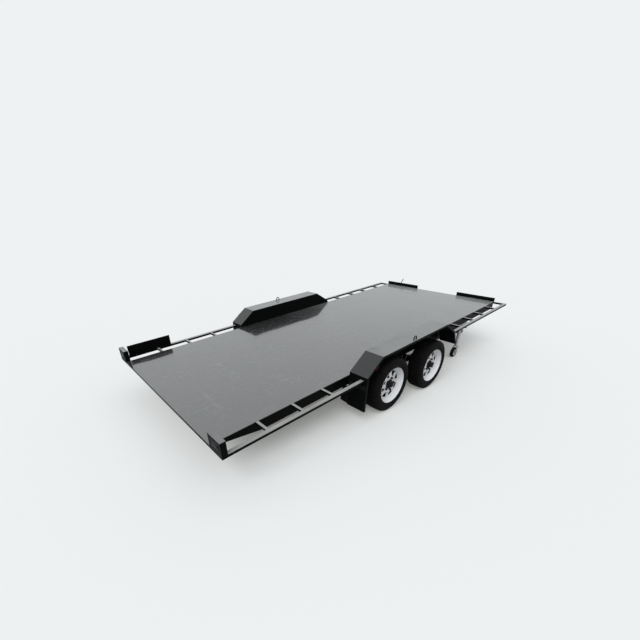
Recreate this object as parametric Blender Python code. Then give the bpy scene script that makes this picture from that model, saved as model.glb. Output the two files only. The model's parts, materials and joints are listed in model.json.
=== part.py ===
"""Tilt-bed car trailer with twin axles, as a Blender model.

Units are metres. +X points to the coupling, +Y to the trailer's left, +Z up, and the ground is z = 0.
The running gear (rails, axles, drawbar) is level. The bed turns on pins at the rear ends of the
chassis rails, and it is shown a little nose-up, held by the tilt ram. Pieces of the running gear are
placed from the middle of the axle group, and pieces of the bed from its rear edge and its top.
"""

from math import asin, atan2, cos, hypot, pi, radians, sin, sqrt, tan

import bmesh
import bpy
from mathutils import Matrix, Vector

# Clearances
SEAT = 0.0003
PIN_PLAY = 0.001

# How many flats a round piece has
WHEEL_STEPS = 24
HUB_STEPS = 16
RAM_STEPS = 16
PIN_STEPS = 12
BOLT_STEPS = 8

# Tyres and rims
AXLE_OFFSET = 0.408
RIM_RADIUS = 0.195
TYRE_WALL = 0.103
TYRE_WIDTH = 0.185
TYRE_GAP = 0.025
TYRE_BEAD = 0.06
TYRE_BELLY = 0.32
TYRE_SHOULDER = 0.27
SHOULDER_INSET = 0.006
TREAD_INSET = 0.028
TREAD_CROWN = 0.002
RIM_INSET = 0.010
RIM_WALL = 0.004
BEAD_DROP = 0.012
WELL_DROP = 0.030
DISC_INSET = 0.045
DISC_THICKNESS = 0.005
DISC_DISH = 0.006
DISC_RING = 0.034
DISC_RISE = 0.010
RIM_WINDOWS = 8
WINDOW_INNER = 0.097
WINDOW_OUTER = 0.147
WINDOW_BOW = 0.005
WINDOW_HALF = 0.030

# Hubs and axles
HUB_RADIUS = 0.052
HUB_STEP = 0.006
CAP_RADIUS = 0.040
CAP_NOSE_RADIUS = 0.032
HUB_NOSE = 0.038
DRUM_RADIUS = 0.125
DRUM_WIDTH = 0.050
DRUM_TO_DISC = 0.120
DRUM_NECK = 0.070
DRUM_CONE = 0.008
BRAKE_PLATE = 0.006
BRAKE_GAP = 0.005
SPINDLE_RADIUS = 0.020
SPINDLE_REACH = 0.095
SPINDLE_ROOT = 0.020
SPINDLE_BORE = 0.100
AXLE_BEAM = 0.050

# Bed, along the deck from its rear edge
DECK_LENGTH = 4.880
DECK_HALF = 0.960
DECK_PLATE = 0.004
EDGE_DEPTH = 0.025
PIN_FROM_REAR = 1.577
PIN_BELOW_DECK = 0.075
REST_TILT = radians(4.08)
CROSS_DEPTH = 0.036
CROSS_WIDTH = 0.040
CROSS_WALL = 0.005
CROSS_COUNT = 8
BEAM_DEPTH = 0.060
BEAM_WIDTH = 0.040
BEAM_GAP = 0.035
BEAM_TAPER = 0.900
SIDE_BEAM_DEPTH = 0.100
SIDE_BEAM_WIDTH = 0.040
SIDE_BEAM_TAPER = 0.450
WELD_LAP = 0.001
LUG_HALF = 0.090
LUG_RIM = 0.012

# Side rails, from the deck's rear edge
RAIL_REACH = 0.175
RAIL_WIDTH = 0.040
RAIL_DEPTH = 0.024
RUNG_WIDTH = 0.024
REAR_RUNGS = (0.41, 0.77, 1.12)
FRONT_RUNGS = (3.50, 3.86, 4.18, 4.55)

# Mudguards, from the deck's rear edge and top
GUARD_COVER = 0.002
GUARD_SHEET = 0.003
GUARD_REAR = 1.503
GUARD_TOP_REAR = 1.723
GUARD_TOP_FRONT = 2.948
GUARD_FRONT = 3.180
GUARD_FOOT = 0.033
GUARD_HEIGHT = 0.183
GUARD_REAR_DROP = 0.330
GUARD_REAR_LEAN = 0.020
GUARD_FRONT_DROP = 0.160
GUARD_FRONT_LEAN = 0.100
GUARD_LIP = 0.024

# Light boxes and lamps
LIGHT_BOX_DEPTH = 0.048
LIGHT_BOX_HEIGHT = 0.117
TAIL_LAMP_DEPTH = 0.016
TAIL_LAMP_MARGIN = 0.032
TAIL_LAMP_HEIGHT = 0.050
MARKER_LENGTH = 0.060
MARKER_WIDTH = 0.012
MARKER_HEIGHT = 0.022
MARKER_DROP = 0.001
MARKER_X = 1.614

# Plate on the left rail, wheel stops, latch lever and lashing rings
PLATE_REAR = 0.078
PLATE_FRONT = 0.570
PLATE_TOP = 0.121
PLATE_SHEET = 0.004
STOP_HEIGHT = 0.055
STOP_FOOT = 0.045
STOP_SHEET = 0.005
STOP_INNER = {1: 0.340, -1: 0.370}
LEVER_INSET = 0.260
LEVER_BAR = 0.006
LEVER_PATH = ((0.028, 0.040), (0.036, 0.062), (0.065, 0.085), (0.080, 0.105))
RING_X = 2.300
RING_INSET = 0.027
RING_SPAN = 0.044
RING_HEIGHT = 0.036
RING_BAR = 0.0055
RING_STEPS = 8

# Chassis, from the middle of the axle group
RAIL_OVER_AXLE = 0.149
RAIL_INSET = 0.160
CHASSIS_WIDTH = 0.050
CHASSIS_HEIGHT = 0.075
CHASSIS_FRONT = 2.050
PIN_X = -0.800
PIN_UNDER_TOP = 0.027
PIN_RADIUS = 0.015
PIN_HEAD = 0.012
BOSS_RADIUS = 0.026
CROSS_TUBE = 0.050
CROSS_TUBES = {"rear": -0.620, "middle": -0.365, "front": 1.960}
WELD_DEPTH = 0.010

# Drawbar and coupling
DRAWBAR_NOSE = 3.720
DRAWBAR_NOSE_HALF = 0.035
DRAWBAR_WIDTH = 0.050
DRAWBAR_DEPTH = 0.060
DRAWBAR_DROP = 0.030
HEAD_LENGTH = 0.330
HEAD_PLATE = 0.010
BRACE_PLACE = 0.62
BRACE_HALF = 0.020
COUPLING_LENGTH = 0.300
COUPLING_LAP = 0.130
COUPLING_HALF = 0.032
COUPLING_DROP = 0.045
COUPLING_NOSE = 0.045
COUPLING_STEP = 0.012
COUPLING_BACK = 0.036
HANDLE_HALF = 0.013
BALL_RADIUS = 0.0255
BALL_CROWN = 0.007
BALL_STEPS = 18
COUPLING_SHELL = (
    (-0.050, -0.022), (-0.045, -COUPLING_DROP), (0.040, -COUPLING_DROP), (COUPLING_NOSE, 0.006),
    (0.018, 0.034), (-0.070, 0.044),
)
COUPLING_HANDLE = (
    (-0.050, 0.030), (-0.030, 0.030), (-0.020, 0.052), (-0.150, 0.062), (-0.152, 0.054), (-0.055, 0.046),
)

# Springs and rockers
SPRING_HALF = 0.330
SPRING_RISE = 0.048
SPRING_WIDTH = 0.045
LEAF = 0.007
SHORT_LEAVES = (0.240, 0.150)
SPRING_FLAT = 0.012
SEAT_HALF = 0.055
SEAT_PLATE = 0.010
EYE_RADIUS = 0.018
EYE_WALL = 0.003
SHACKLE_PIN = 0.008
LEAF_ENDS = (SPRING_HALF - EYE_WALL - SHACKLE_PIN, *SHORT_LEAVES)
HANGER_PLATE = 0.006
HANGER_HALF = 0.045
BLOCK_HALF = 0.035
BOLT_HEAD = 0.006
ROCKER_OVER_AXLE = 0.050
ROCKER_BOSS = 0.018

# Tilt ram
RAM_BASE_X = -0.300
RAM_BASE_DROP = 0.167
RAM_CROSS_MEMBER = 4
RAM_EYE_DROP = 0.085
RAM_RADIUS = 0.030
RAM_COLLAR = 0.003
RAM_COLLAR_LENGTH = 0.030
RAM_ROD_RADIUS = 0.014
RAM_PIN_RADIUS = 0.010
RAM_EYE_RADIUS = 0.022
RAM_EYE_WIDTH = 0.030
RAM_NECK = 0.012
RAM_CAP = 0.010
RAM_FLOOR = 0.040
RAM_LUG = 0.010
RAM_LUG_GAP = 0.050
RAM_EAR_HALF = 0.060
RAM_EAR_RIM = 0.008
RAM_BASE_PLAY = 0.005
RAM_BARREL_SHARE = 0.640
RAM_OVERLAP = 0.110

# Jockey wheel
JOCKEY_X = 1.700
JOCKEY_OFFSET = 0.070
JOCKEY_TUBE_RADIUS = 0.024
JOCKEY_LEG_RADIUS = 0.019
JOCKEY_DROP = 0.015
JOCKEY_TUBE_LENGTH = 0.157
JOCKEY_LEG_LAP = 0.050
JOCKEY_CAP = 0.004
JOCKEY_CLEAR = 0.015
JOCKEY_WHEEL_RADIUS = 0.075
JOCKEY_WHEEL_WIDTH = 0.045
JOCKEY_TRAIL = 0.035
JOCKEY_STEPS = 16
JOCKEY_AXLE = 0.006
COLLAR_WALL = 0.005
COLLAR_HEIGHT = 0.049
COLLAR_INSET = 0.004
BRACKET_HALF = 0.022
CRANK_LENGTH = 0.090
CRANK_HALF = 0.008
CRANK_DEPTH = 0.010
KNOB_RADIUS = 0.009
KNOB_LENGTH = 0.055
LOOP_RADIUS = 0.028
LOOP_BAR = 0.005
LOOP_STRETCH = 1.75
LOOP_STEPS = 12
FORK_SHEET = 0.004
FORK_GAP = 0.006
FORK_HALF = 0.022
FORK_FOOT = 0.014
WHEEL_RIM = 0.050
WHEEL_HUB = 0.026
WHEEL_HOLLOW = 0.008

# Heights that follow from the sizes above
WHEEL_RADIUS = RIM_RADIUS + TYRE_WALL
CHASSIS_TOP = WHEEL_RADIUS + RAIL_OVER_AXLE
CHASSIS_BOTTOM = CHASSIS_TOP - CHASSIS_HEIGHT
PIN_HEIGHT = CHASSIS_TOP - PIN_UNDER_TOP
DRAWBAR_TOP = CHASSIS_TOP - DRAWBAR_DROP
ROCKER_HEIGHT = WHEEL_RADIUS + ROCKER_OVER_AXLE
SPRING_EYE_HEIGHT = WHEEL_RADIUS - AXLE_BEAM / 2 - SEAT + SPRING_RISE
RAM_BASE_HEIGHT = CHASSIS_TOP - RAM_BASE_DROP
JOCKEY_TOP = CHASSIS_TOP - JOCKEY_DROP
JOCKEY_TUBE_BOTTOM = JOCKEY_TOP - JOCKEY_TUBE_LENGTH
JOCKEY_FORK_TOP = 2 * JOCKEY_WHEEL_RADIUS + JOCKEY_CLEAR

# Distances from the centreline that follow from the sizes above
TYRE_OUTER_Y = DECK_HALF + TYRE_GAP + TYRE_WIDTH
WHEEL_Y = TYRE_OUTER_Y - TYRE_WIDTH / 2
DRUM_INNER_Y = TYRE_OUTER_Y - RIM_INSET - DISC_INSET - DISC_THICKNESS - SEAT - DRUM_TO_DISC
GUARD_OUTER = TYRE_OUTER_Y + GUARD_COVER
RING_Y = GUARD_OUTER - RING_INSET
RAIL_OUTER = DECK_HALF + RAIL_REACH
RAIL_INNER = RAIL_OUTER - RAIL_WIDTH
RAIL_Y = DECK_HALF - RAIL_INSET
CHASSIS_OUTER = RAIL_Y + CHASSIS_WIDTH / 2
CHASSIS_INNER = RAIL_Y - CHASSIS_WIDTH / 2
BEAM_Y = CHASSIS_INNER - BEAM_GAP - BEAM_WIDTH / 2
BEAM_SPAN = (BEAM_Y - BEAM_WIDTH / 2, BEAM_Y + BEAM_WIDTH / 2)
JOCKEY_Y = -RAIL_Y - JOCKEY_OFFSET
HANGER_INNER = SPRING_WIDTH / 2 + 2 * SEAT
HANGER_OUTER = HANGER_INNER + HANGER_PLATE
BOLT_HALF = HANGER_OUTER + BOLT_HEAD
LUG_INNER = RAM_EYE_WIDTH / 2 + RAM_BASE_PLAY

WHEEL_NAMES = {(1, 1): "front_left", (1, -1): "front_right", (-1, 1): "rear_left", (-1, -1): "rear_right"}
SIDES = {1: "left", -1: "right"}
STRAIGHT_DOWN = -pi / 2


def clear_scene():
    for thing in list(bpy.data.objects):
        bpy.data.objects.remove(thing, do_unlink=True)


def make_material(name, colour, roughness, metallic=0.0):
    material = bpy.data.materials.new(name)
    material.use_nodes = True
    shader = material.node_tree.nodes["Principled BSDF"]
    shader.inputs["Base Color"].default_value = (*colour, 1.0)
    shader.inputs["Roughness"].default_value = roughness
    shader.inputs["Metallic"].default_value = metallic
    return material


def make_empty(name, parent=None, location=(0, 0, 0), pitch=0.0):
    empty = bpy.data.objects.new(name, None)
    bpy.context.collection.objects.link(empty)
    empty.parent = parent
    empty.location = location
    empty.rotation_euler = (0, pitch, 0)
    return empty


def make_object(name, mesh_builder, material, parent, location=(0, 0, 0), pitch=0.0, smooth=None):
    """An object from a filled bmesh, with its normals outward, on its parent."""
    bmesh.ops.recalc_face_normals(mesh_builder, faces=mesh_builder.faces)
    mesh = bpy.data.meshes.new(name)
    mesh_builder.to_mesh(mesh)
    mesh_builder.free()
    if smooth:
        mesh.shade_smooth()
        mesh.set_sharp_from_angle(angle=smooth)
    mesh.materials.append(material)
    thing = bpy.data.objects.new(name, mesh)
    bpy.context.collection.objects.link(thing)
    thing.parent = parent
    thing.location = location
    thing.rotation_euler = (0, pitch, 0)
    return thing


def shape_with(base, tools, operation="UNION"):
    """Adds the tool shapes to the base, or cuts them from it. The tools themselves aren't built."""
    for number, tool in enumerate(tools):
        tool.hide_render = True
        tool.display_type = "WIRE"
        modifier = base.modifiers.new(f"{operation.lower()}_{number}", "BOOLEAN")
        modifier.operation = operation
        modifier.object = tool
    return base


def box(low, high):
    """A box between two corners."""
    mesh = bmesh.new()
    bmesh.ops.create_cube(mesh, size=1.0)
    size = [b - a for a, b in zip(low, high)]
    middle = [(a + b) / 2 for a, b in zip(low, high)]
    bmesh.ops.scale(mesh, vec=size, verts=mesh.verts)
    bmesh.ops.translate(mesh, vec=middle, verts=mesh.verts)
    return mesh


def prism(outline, start, end, axis="Y"):
    """An outline drawn across an axis, extruded along it from start to end."""
    place = {
        "X": lambda a, b, c: (c, a, b),
        "Y": lambda a, b, c: (a, c, b),
        "Z": lambda a, b, c: (a, b, c),
    }[axis]
    mesh = bmesh.new()
    face = mesh.faces.new([mesh.verts.new(place(a, b, start)) for a, b in outline])
    extruded = bmesh.ops.extrude_face_region(mesh, geom=[face])
    moved = [item for item in extruded["geom"] if isinstance(item, bmesh.types.BMVert)]
    bmesh.ops.translate(mesh, vec=place(0, 0, end - start), verts=moved)
    return mesh


def turned(profile, steps, axis="Y", closed=True):
    """A profile of (radius, distance along the axis) turned round the axis, a flat at its lowest point."""
    if axis == "Y":
        rows = [(0.0, along, -radius) for radius, along in profile]
        turn_axis = (0, 1, 0)
    elif axis == "X":
        rows = [(along, 0.0, -radius) for radius, along in profile]
        turn_axis = (1, 0, 0)
    else:
        rows = [(radius, 0.0, along) for radius, along in profile]
        turn_axis = (0, 0, 1)
    mesh = bmesh.new()
    verts = [mesh.verts.new(row) for row in rows]
    edges = [mesh.edges.new(pair) for pair in zip(verts, verts[1:])]
    if closed:
        edges.append(mesh.edges.new((verts[-1], verts[0])))
    bmesh.ops.rotate(mesh, matrix=Matrix.Rotation(pi / steps, 3, turn_axis), verts=mesh.verts)
    bmesh.ops.spin(mesh, geom=verts + edges, axis=turn_axis, cent=(0, 0, 0), angle=2 * pi, steps=steps,
                   use_merge=True)
    bmesh.ops.remove_doubles(mesh, verts=mesh.verts, dist=1e-6)
    return mesh


def rod(radius, start, end, axis="Y", steps=PIN_STEPS):
    """A plain round bar along an axis."""
    return turned([(0, start), (radius, start), (radius, end), (0, end)], steps, axis, closed=False)


def arc(centre, radius, start, end, count):
    """Points on an arc, angles in radians."""
    return [
        (centre[0] + radius * cos(start + (end - start) * i / count),
         centre[1] + radius * sin(start + (end - start) * i / count))
        for i in range(count + 1)
    ]


def bent_bar(name, points, radius, material, parent):
    """A round bar through points, as a curve with filled ends."""
    curve = bpy.data.curves.new(name, "CURVE")
    curve.dimensions = "3D"
    curve.bevel_depth = radius
    curve.bevel_resolution = 2
    curve.use_fill_caps = True
    spline = curve.splines.new("POLY")
    spline.points.add(len(points) - 1)
    for place, point in zip(spline.points, points):
        place.co = (*point, 1.0)
    curve.materials.append(material)
    thing = bpy.data.objects.new(name, curve)
    bpy.context.collection.objects.link(thing)
    thing.parent = parent
    return thing


def across(side, inner, outer, centre=0.0):
    """The two y values of a piece that lies between two distances from a centre, low first."""
    return tuple(sorted((centre + side * inner, centre + side * outer)))


class Bed:
    """Places on the bed, in the frame of the tilt pin: x along the deck, z square to it."""

    top = PIN_BELOW_DECK
    under = PIN_BELOW_DECK - DECK_PLATE - SEAT
    rear = -PIN_FROM_REAR
    front = DECK_LENGTH - PIN_FROM_REAR
    frame_rear = -PIN_FROM_REAR + DECK_PLATE + SEAT
    frame_front = DECK_LENGTH - PIN_FROM_REAR - DECK_PLATE - SEAT
    frame_half = DECK_HALF - DECK_PLATE - SEAT

    @staticmethod
    def x(from_rear):
        return from_rear - PIN_FROM_REAR

    @staticmethod
    def z(above_deck):
        return PIN_BELOW_DECK + above_deck


def build_deck(paint, parent):
    """The deck's sheet, its four edges folded down."""
    mesh = box((Bed.rear, -DECK_HALF, Bed.z(-EDGE_DEPTH)), (Bed.front, DECK_HALF, Bed.top))
    bottom = min(mesh.faces, key=lambda face: face.calc_center_median().z)
    bmesh.ops.inset_region(mesh, faces=[bottom], thickness=DECK_PLATE)
    sunk = bmesh.ops.extrude_face_region(mesh, geom=[bottom])
    bmesh.ops.delete(mesh, geom=[bottom], context="FACES_ONLY")
    moved = [item for item in sunk["geom"] if isinstance(item, bmesh.types.BMVert)]
    bmesh.ops.translate(mesh, vec=(0, 0, EDGE_DEPTH - DECK_PLATE), verts=moved)
    return make_object("deck_plate", mesh, paint, parent)


def cross_member_x(number):
    """Where a cross member starts, counted from the bed's rear."""
    return Bed.frame_rear + number * (Bed.frame_front - Bed.frame_rear - CROSS_WIDTH) / (CROSS_COUNT - 1)


def ram_eye_on_bed():
    """The rod's eye under its cross member, in the bed's frame."""
    return cross_member_x(RAM_CROSS_MEMBER) + CROSS_WIDTH / 2, Bed.z(-RAM_EYE_DROP)


def tapered_beam(depth, taper):
    """A long beam's side view: shallow at the rear edge, so that the deck's tail meets the ground."""
    top, shallow = Bed.under, EDGE_DEPTH - DECK_PLATE
    return [(Bed.frame_rear, top), (Bed.frame_front, top), (Bed.frame_front, top - depth),
            (Bed.frame_rear + taper, top - depth), (Bed.frame_rear, top - shallow)]


def cross_member(number):
    """A channel across the bed, open to the front, no deeper than the long beams at its place."""
    start = cross_member_x(number)
    shallow = EDGE_DEPTH - DECK_PLATE
    deepened = shallow + (start - Bed.frame_rear) / BEAM_TAPER * (BEAM_DEPTH - shallow)
    depth = min(CROSS_DEPTH, deepened)
    wall = CROSS_WALL
    channel = [(0, 0), (CROSS_WIDTH, 0), (CROSS_WIDTH, -wall), (wall, -wall), (wall, wall - depth),
               (CROSS_WIDTH, wall - depth), (CROSS_WIDTH, -depth), (0, -depth)]
    outline = [(start + along, Bed.under + up) for along, up in channel]
    half = Bed.frame_half - SIDE_BEAM_WIDTH + WELD_LAP
    return prism(outline, -half, half)


def build_bed_frame(paint, parent):
    """The welded frame under the deck: four long beams, cross members, tilt lugs and the ram's ears."""
    eye_x, eye_z = ram_eye_on_bed()
    ear = [(eye_x - RAM_EAR_HALF, Bed.under), (eye_x + RAM_EAR_HALF, Bed.under)]
    ear += arc((eye_x, eye_z), RAM_EYE_RADIUS + RAM_EAR_RIM, radians(-20), radians(-160), 6)
    lug = [(-LUG_HALF, Bed.under - BEAM_DEPTH / 2), (LUG_HALF, Bed.under - BEAM_DEPTH / 2)]
    lug += arc((0, 0), BOSS_RADIUS + LUG_RIM, 0, -pi, 10)
    shapes, holes = [], []
    for side in SIDES:
        shapes.append(prism(tapered_beam(BEAM_DEPTH, BEAM_TAPER), *across(side, *BEAM_SPAN)))
        edge = across(side, Bed.frame_half - SIDE_BEAM_WIDTH, Bed.frame_half)
        shapes.append(prism(tapered_beam(SIDE_BEAM_DEPTH, SIDE_BEAM_TAPER), *edge))
        shapes.append(prism(ear, *across(side, RAM_LUG_GAP / 2, RAM_LUG_GAP / 2 + RAM_LUG)))
        shapes.append(prism(lug, *across(side, *BEAM_SPAN)))
        holes.append(rod(PIN_RADIUS + PIN_PLAY, *across(side, BEAM_Y - BEAM_WIDTH, BEAM_Y + BEAM_WIDTH)))
    shapes += [cross_member(number) for number in range(CROSS_COUNT)]
    frame = make_object("bed_frame", shapes[0], paint, parent)
    shape_with(frame, [make_object("frame_shape", shape, paint, parent) for shape in shapes[1:]])
    shape_with(frame, [make_object("pin_hole", hole, paint, parent) for hole in holes], "DIFFERENCE")


def guard_x(up, rear):
    """Where the outer face of a mudguard's rear or front flap stands, at a height from the deck's top."""
    if rear:
        return GUARD_REAR - GUARD_REAR_LEAN * (GUARD_FOOT - up) / (GUARD_FOOT + GUARD_REAR_DROP)
    return GUARD_FRONT + GUARD_FRONT_LEAN * (GUARD_FOOT - up) / (GUARD_FOOT + GUARD_FRONT_DROP)


def comb_outline(side, start, end, rungs, end_bar):
    """A side rail with its rungs, from above: the rungs reach in to the deck's edge."""
    inner = DECK_HALF + SEAT
    outline = [(start, RAIL_OUTER), (start, RAIL_INNER)]
    for place in rungs:
        low, high = place - RUNG_WIDTH / 2, place + RUNG_WIDTH / 2
        outline += [(low, RAIL_INNER), (low, inner), (high, inner), (high, RAIL_INNER)]
    if end_bar:
        outline += [(end - RUNG_WIDTH, RAIL_INNER), (end - RUNG_WIDTH, inner), (end, inner)]
    else:
        outline += [(end, RAIL_INNER)]
    outline += [(end, RAIL_OUTER)]
    return [(Bed.x(x), side * y) for x, y in outline]


def build_side_rails(paint, parent):
    """A ladder-like rail beside the deck behind the mudguard, and one ahead of it, on each side."""
    low, high = Bed.z(-RAIL_DEPTH), Bed.top
    rear_end = guard_x(-RAIL_DEPTH, rear=True) - SEAT
    front_start = guard_x(-RAIL_DEPTH, rear=False) + SEAT
    for side, word in SIDES.items():
        rear = comb_outline(side, LIGHT_BOX_DEPTH + SEAT, rear_end, REAR_RUNGS, end_bar=False)
        make_object(f"side_rail_rear_{word}", prism(rear, low, high, "Z"), paint, parent)
        front = comb_outline(side, front_start, DECK_LENGTH, FRONT_RUNGS, end_bar=True)
        make_object(f"side_rail_front_{word}", prism(front, low, high, "Z"), paint, parent)


def guard_path():
    """The mudguard's line from its rear hem over the wheels to its front hem, from the side."""
    points = [
        (guard_x(-GUARD_REAR_DROP, rear=True), -GUARD_REAR_DROP),
        (guard_x(-EDGE_DEPTH, rear=True), -EDGE_DEPTH),
        (GUARD_REAR, GUARD_FOOT),
        (GUARD_TOP_REAR, GUARD_HEIGHT),
        (GUARD_TOP_FRONT, GUARD_HEIGHT),
        (GUARD_FRONT, GUARD_FOOT),
        (guard_x(-EDGE_DEPTH, rear=False), -EDGE_DEPTH),
        (guard_x(-GUARD_FRONT_DROP, rear=False), -GUARD_FRONT_DROP),
    ]
    return [(Bed.x(x), Bed.z(z)) for x, z in points]


def moved_in(path, distance):
    """A path's points moved to its inner side, square to both runs that meet at each."""
    normals = []
    for (ax, az), (bx, bz) in zip(path, path[1:]):
        length = hypot(bx - ax, bz - az)
        normals.append(((bz - az) / length, -(bx - ax) / length))
    moved = []
    for number, (x, z) in enumerate(path):
        before = normals[max(number - 1, 0)]
        after = normals[min(number, len(normals) - 1)]
        total = (before[0] + after[0], before[1] + after[1])
        share = distance * 2 / (total[0] ** 2 + total[1] ** 2)
        moved.append((x + total[0] * share, z + total[1] * share))
    return moved


def build_mudguards(paint, parent):
    """A folded sheet over both wheels of a side, with an inner wall beside the deck and an outer lip."""
    path = guard_path()
    lip = moved_in(path, GUARD_LIP)
    for side, word in SIDES.items():
        inner = side * (DECK_HALF + SEAT)
        outer = side * (GUARD_OUTER - SEAT)
        mesh = bmesh.new()
        inner_row = [mesh.verts.new((x, inner, z)) for x, z in path]
        outer_row = [mesh.verts.new((x, outer, z)) for x, z in path]
        lip_row = [mesh.verts.new((x, outer, z)) for x, z in lip]
        for number in range(len(path) - 1):
            mesh.faces.new((inner_row[number], inner_row[number + 1], outer_row[number + 1], outer_row[number]))
            mesh.faces.new((outer_row[number], outer_row[number + 1], lip_row[number + 1], lip_row[number]))
        mesh.faces.new(inner_row[1:-1])
        guard = make_object(f"mudguard_{word}", mesh, paint, parent)
        if guard.data.polygons[0].normal.x > 0:
            guard.data.flip_normals()
        thick = guard.modifiers.new("sheet", "SOLIDIFY")
        thick.thickness = GUARD_SHEET
        thick.offset = -1.0
        thick.use_even_offset = True


def build_light_boxes(paint, smoked, parent):
    """A closed box at each rear corner, with the tail lamp let into its rear face."""
    low, high = Bed.z(-EDGE_DEPTH), Bed.z(LIGHT_BOX_HEIGHT)
    lamp_low = Bed.z((LIGHT_BOX_HEIGHT - TAIL_LAMP_HEIGHT) / 2)
    lamp_high = lamp_low + TAIL_LAMP_HEIGHT
    floor = Bed.rear + TAIL_LAMP_DEPTH
    for side, word in SIDES.items():
        y_low, y_high = across(side, DECK_HALF + SEAT, RAIL_OUTER)
        shape = box((Bed.rear, y_low, low), (Bed.rear + LIGHT_BOX_DEPTH, y_high, high))
        housing = make_object(f"light_box_{word}", shape, paint, parent)
        y_low, y_high = y_low + TAIL_LAMP_MARGIN, y_high - TAIL_LAMP_MARGIN
        recess = box((Bed.rear - WELD_DEPTH, y_low, lamp_low), (floor + SEAT, y_high, lamp_high))
        shape_with(housing, [make_object("lamp_recess", recess, paint, parent)], "DIFFERENCE")
        lamp = box((Bed.rear, y_low + SEAT, lamp_low + SEAT), (floor, y_high - SEAT, lamp_high - SEAT))
        make_object(f"tail_lamp_{word}", lamp, smoked, parent)


def build_marker_lamps(lens, parent):
    """A small lamp on each mudguard's outer face, in line with its rear slope."""
    slope = atan2(GUARD_HEIGHT - GUARD_FOOT, GUARD_TOP_REAR - GUARD_REAR)
    on_slope = GUARD_FOOT + (MARKER_X - GUARD_REAR) * tan(slope)
    half = MARKER_LENGTH / 2
    for side, word in SIDES.items():
        y_low, y_high = across(side, GUARD_OUTER, GUARD_OUTER + MARKER_WIDTH)
        lamp = box((-half, y_low, -MARKER_HEIGHT - MARKER_DROP), (half, y_high, -MARKER_DROP))
        make_object(f"marker_lamp_{word}", lamp, lens, parent, (Bed.x(MARKER_X), 0, Bed.z(on_slope)), -slope)


def build_lashing_rings(paint, parent):
    """A U of round bar on the top of each mudguard."""
    bend = RING_SPAN / 2
    foot = Bed.z(GUARD_HEIGHT) + SEAT
    crown = foot + RING_HEIGHT - bend
    middle = Bed.x(RING_X)
    for side, word in SIDES.items():
        y = side * RING_Y
        points = [(middle - bend, y, foot)]
        points += [(middle + a, y, b) for a, b in arc((0, crown), bend, pi, 0, RING_STEPS)]
        points += [(middle + bend, y, foot)]
        bent_bar(f"lashing_ring_{word}", points, RING_BAR, paint, parent)


def build_wheel_stops(paint, parent):
    """An upright angle across each side of the deck's front edge, its foot turned forward."""
    back, foot, top = Bed.front + SEAT, Bed.z(-EDGE_DEPTH), Bed.z(STOP_HEIGHT)
    section = [(back, foot), (back + STOP_FOOT, foot), (back + STOP_FOOT, foot + STOP_SHEET),
               (back + STOP_SHEET, foot + STOP_SHEET), (back + STOP_SHEET, top), (back, top)]
    for side, word in SIDES.items():
        make_object(f"wheel_stop_{word}", prism(section, *across(side, STOP_INNER[side], DECK_HALF)), paint, parent)


def build_side_plate(paint, parent):
    """An upright plate that stands on the inner edge of the left rear rail."""
    foot = Bed.top + SEAT
    outline = [(Bed.x(PLATE_REAR), foot), (Bed.x(PLATE_FRONT), foot), (Bed.x(PLATE_FRONT), Bed.z(PLATE_TOP)),
               (Bed.x(PLATE_REAR), Bed.z(PLATE_TOP))]
    make_object("side_plate_left", prism(outline, RAIL_INNER, RAIL_INNER + PLATE_SHEET), paint, parent)


def build_latch_lever(paint, parent):
    """The bed latch's bent lever, which stands on the foot of the left wheel stop."""
    y = DECK_HALF - LEVER_INSET
    foot = Bed.z(-EDGE_DEPTH) + STOP_SHEET + SEAT
    points = [(Bed.front + LEVER_PATH[0][0], y, foot)]
    points += [(Bed.front + ahead, y, Bed.z(up)) for ahead, up in LEVER_PATH]
    bent_bar("latch_lever", points, LEVER_BAR, paint, parent)


def spring_hanger(side, place, paint, parent):
    """Two plates under a rail, one on each side of a spring's eye, with the bolt through them."""
    outline = [(place - HANGER_HALF, CHASSIS_BOTTOM + WELD_DEPTH), (place + HANGER_HALF, CHASSIS_BOTTOM + WELD_DEPTH)]
    outline += arc((place, SPRING_EYE_HEIGHT), EYE_RADIUS, radians(-10), radians(-170), 4)
    parts = []
    for way in SIDES:
        plate = prism(outline, *across(way, HANGER_INNER, HANGER_OUTER, side * RAIL_Y))
        parts.append(make_object("hanger_shape", plate, paint, parent))
    bolt = rod(SHACKLE_PIN, *across(side, -BOLT_HALF, BOLT_HALF, side * RAIL_Y), steps=BOLT_STEPS)
    parts.append(make_object("bolt_shape", bolt, paint, parent, (place, 0, SPRING_EYE_HEIGHT)))
    return parts


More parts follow.
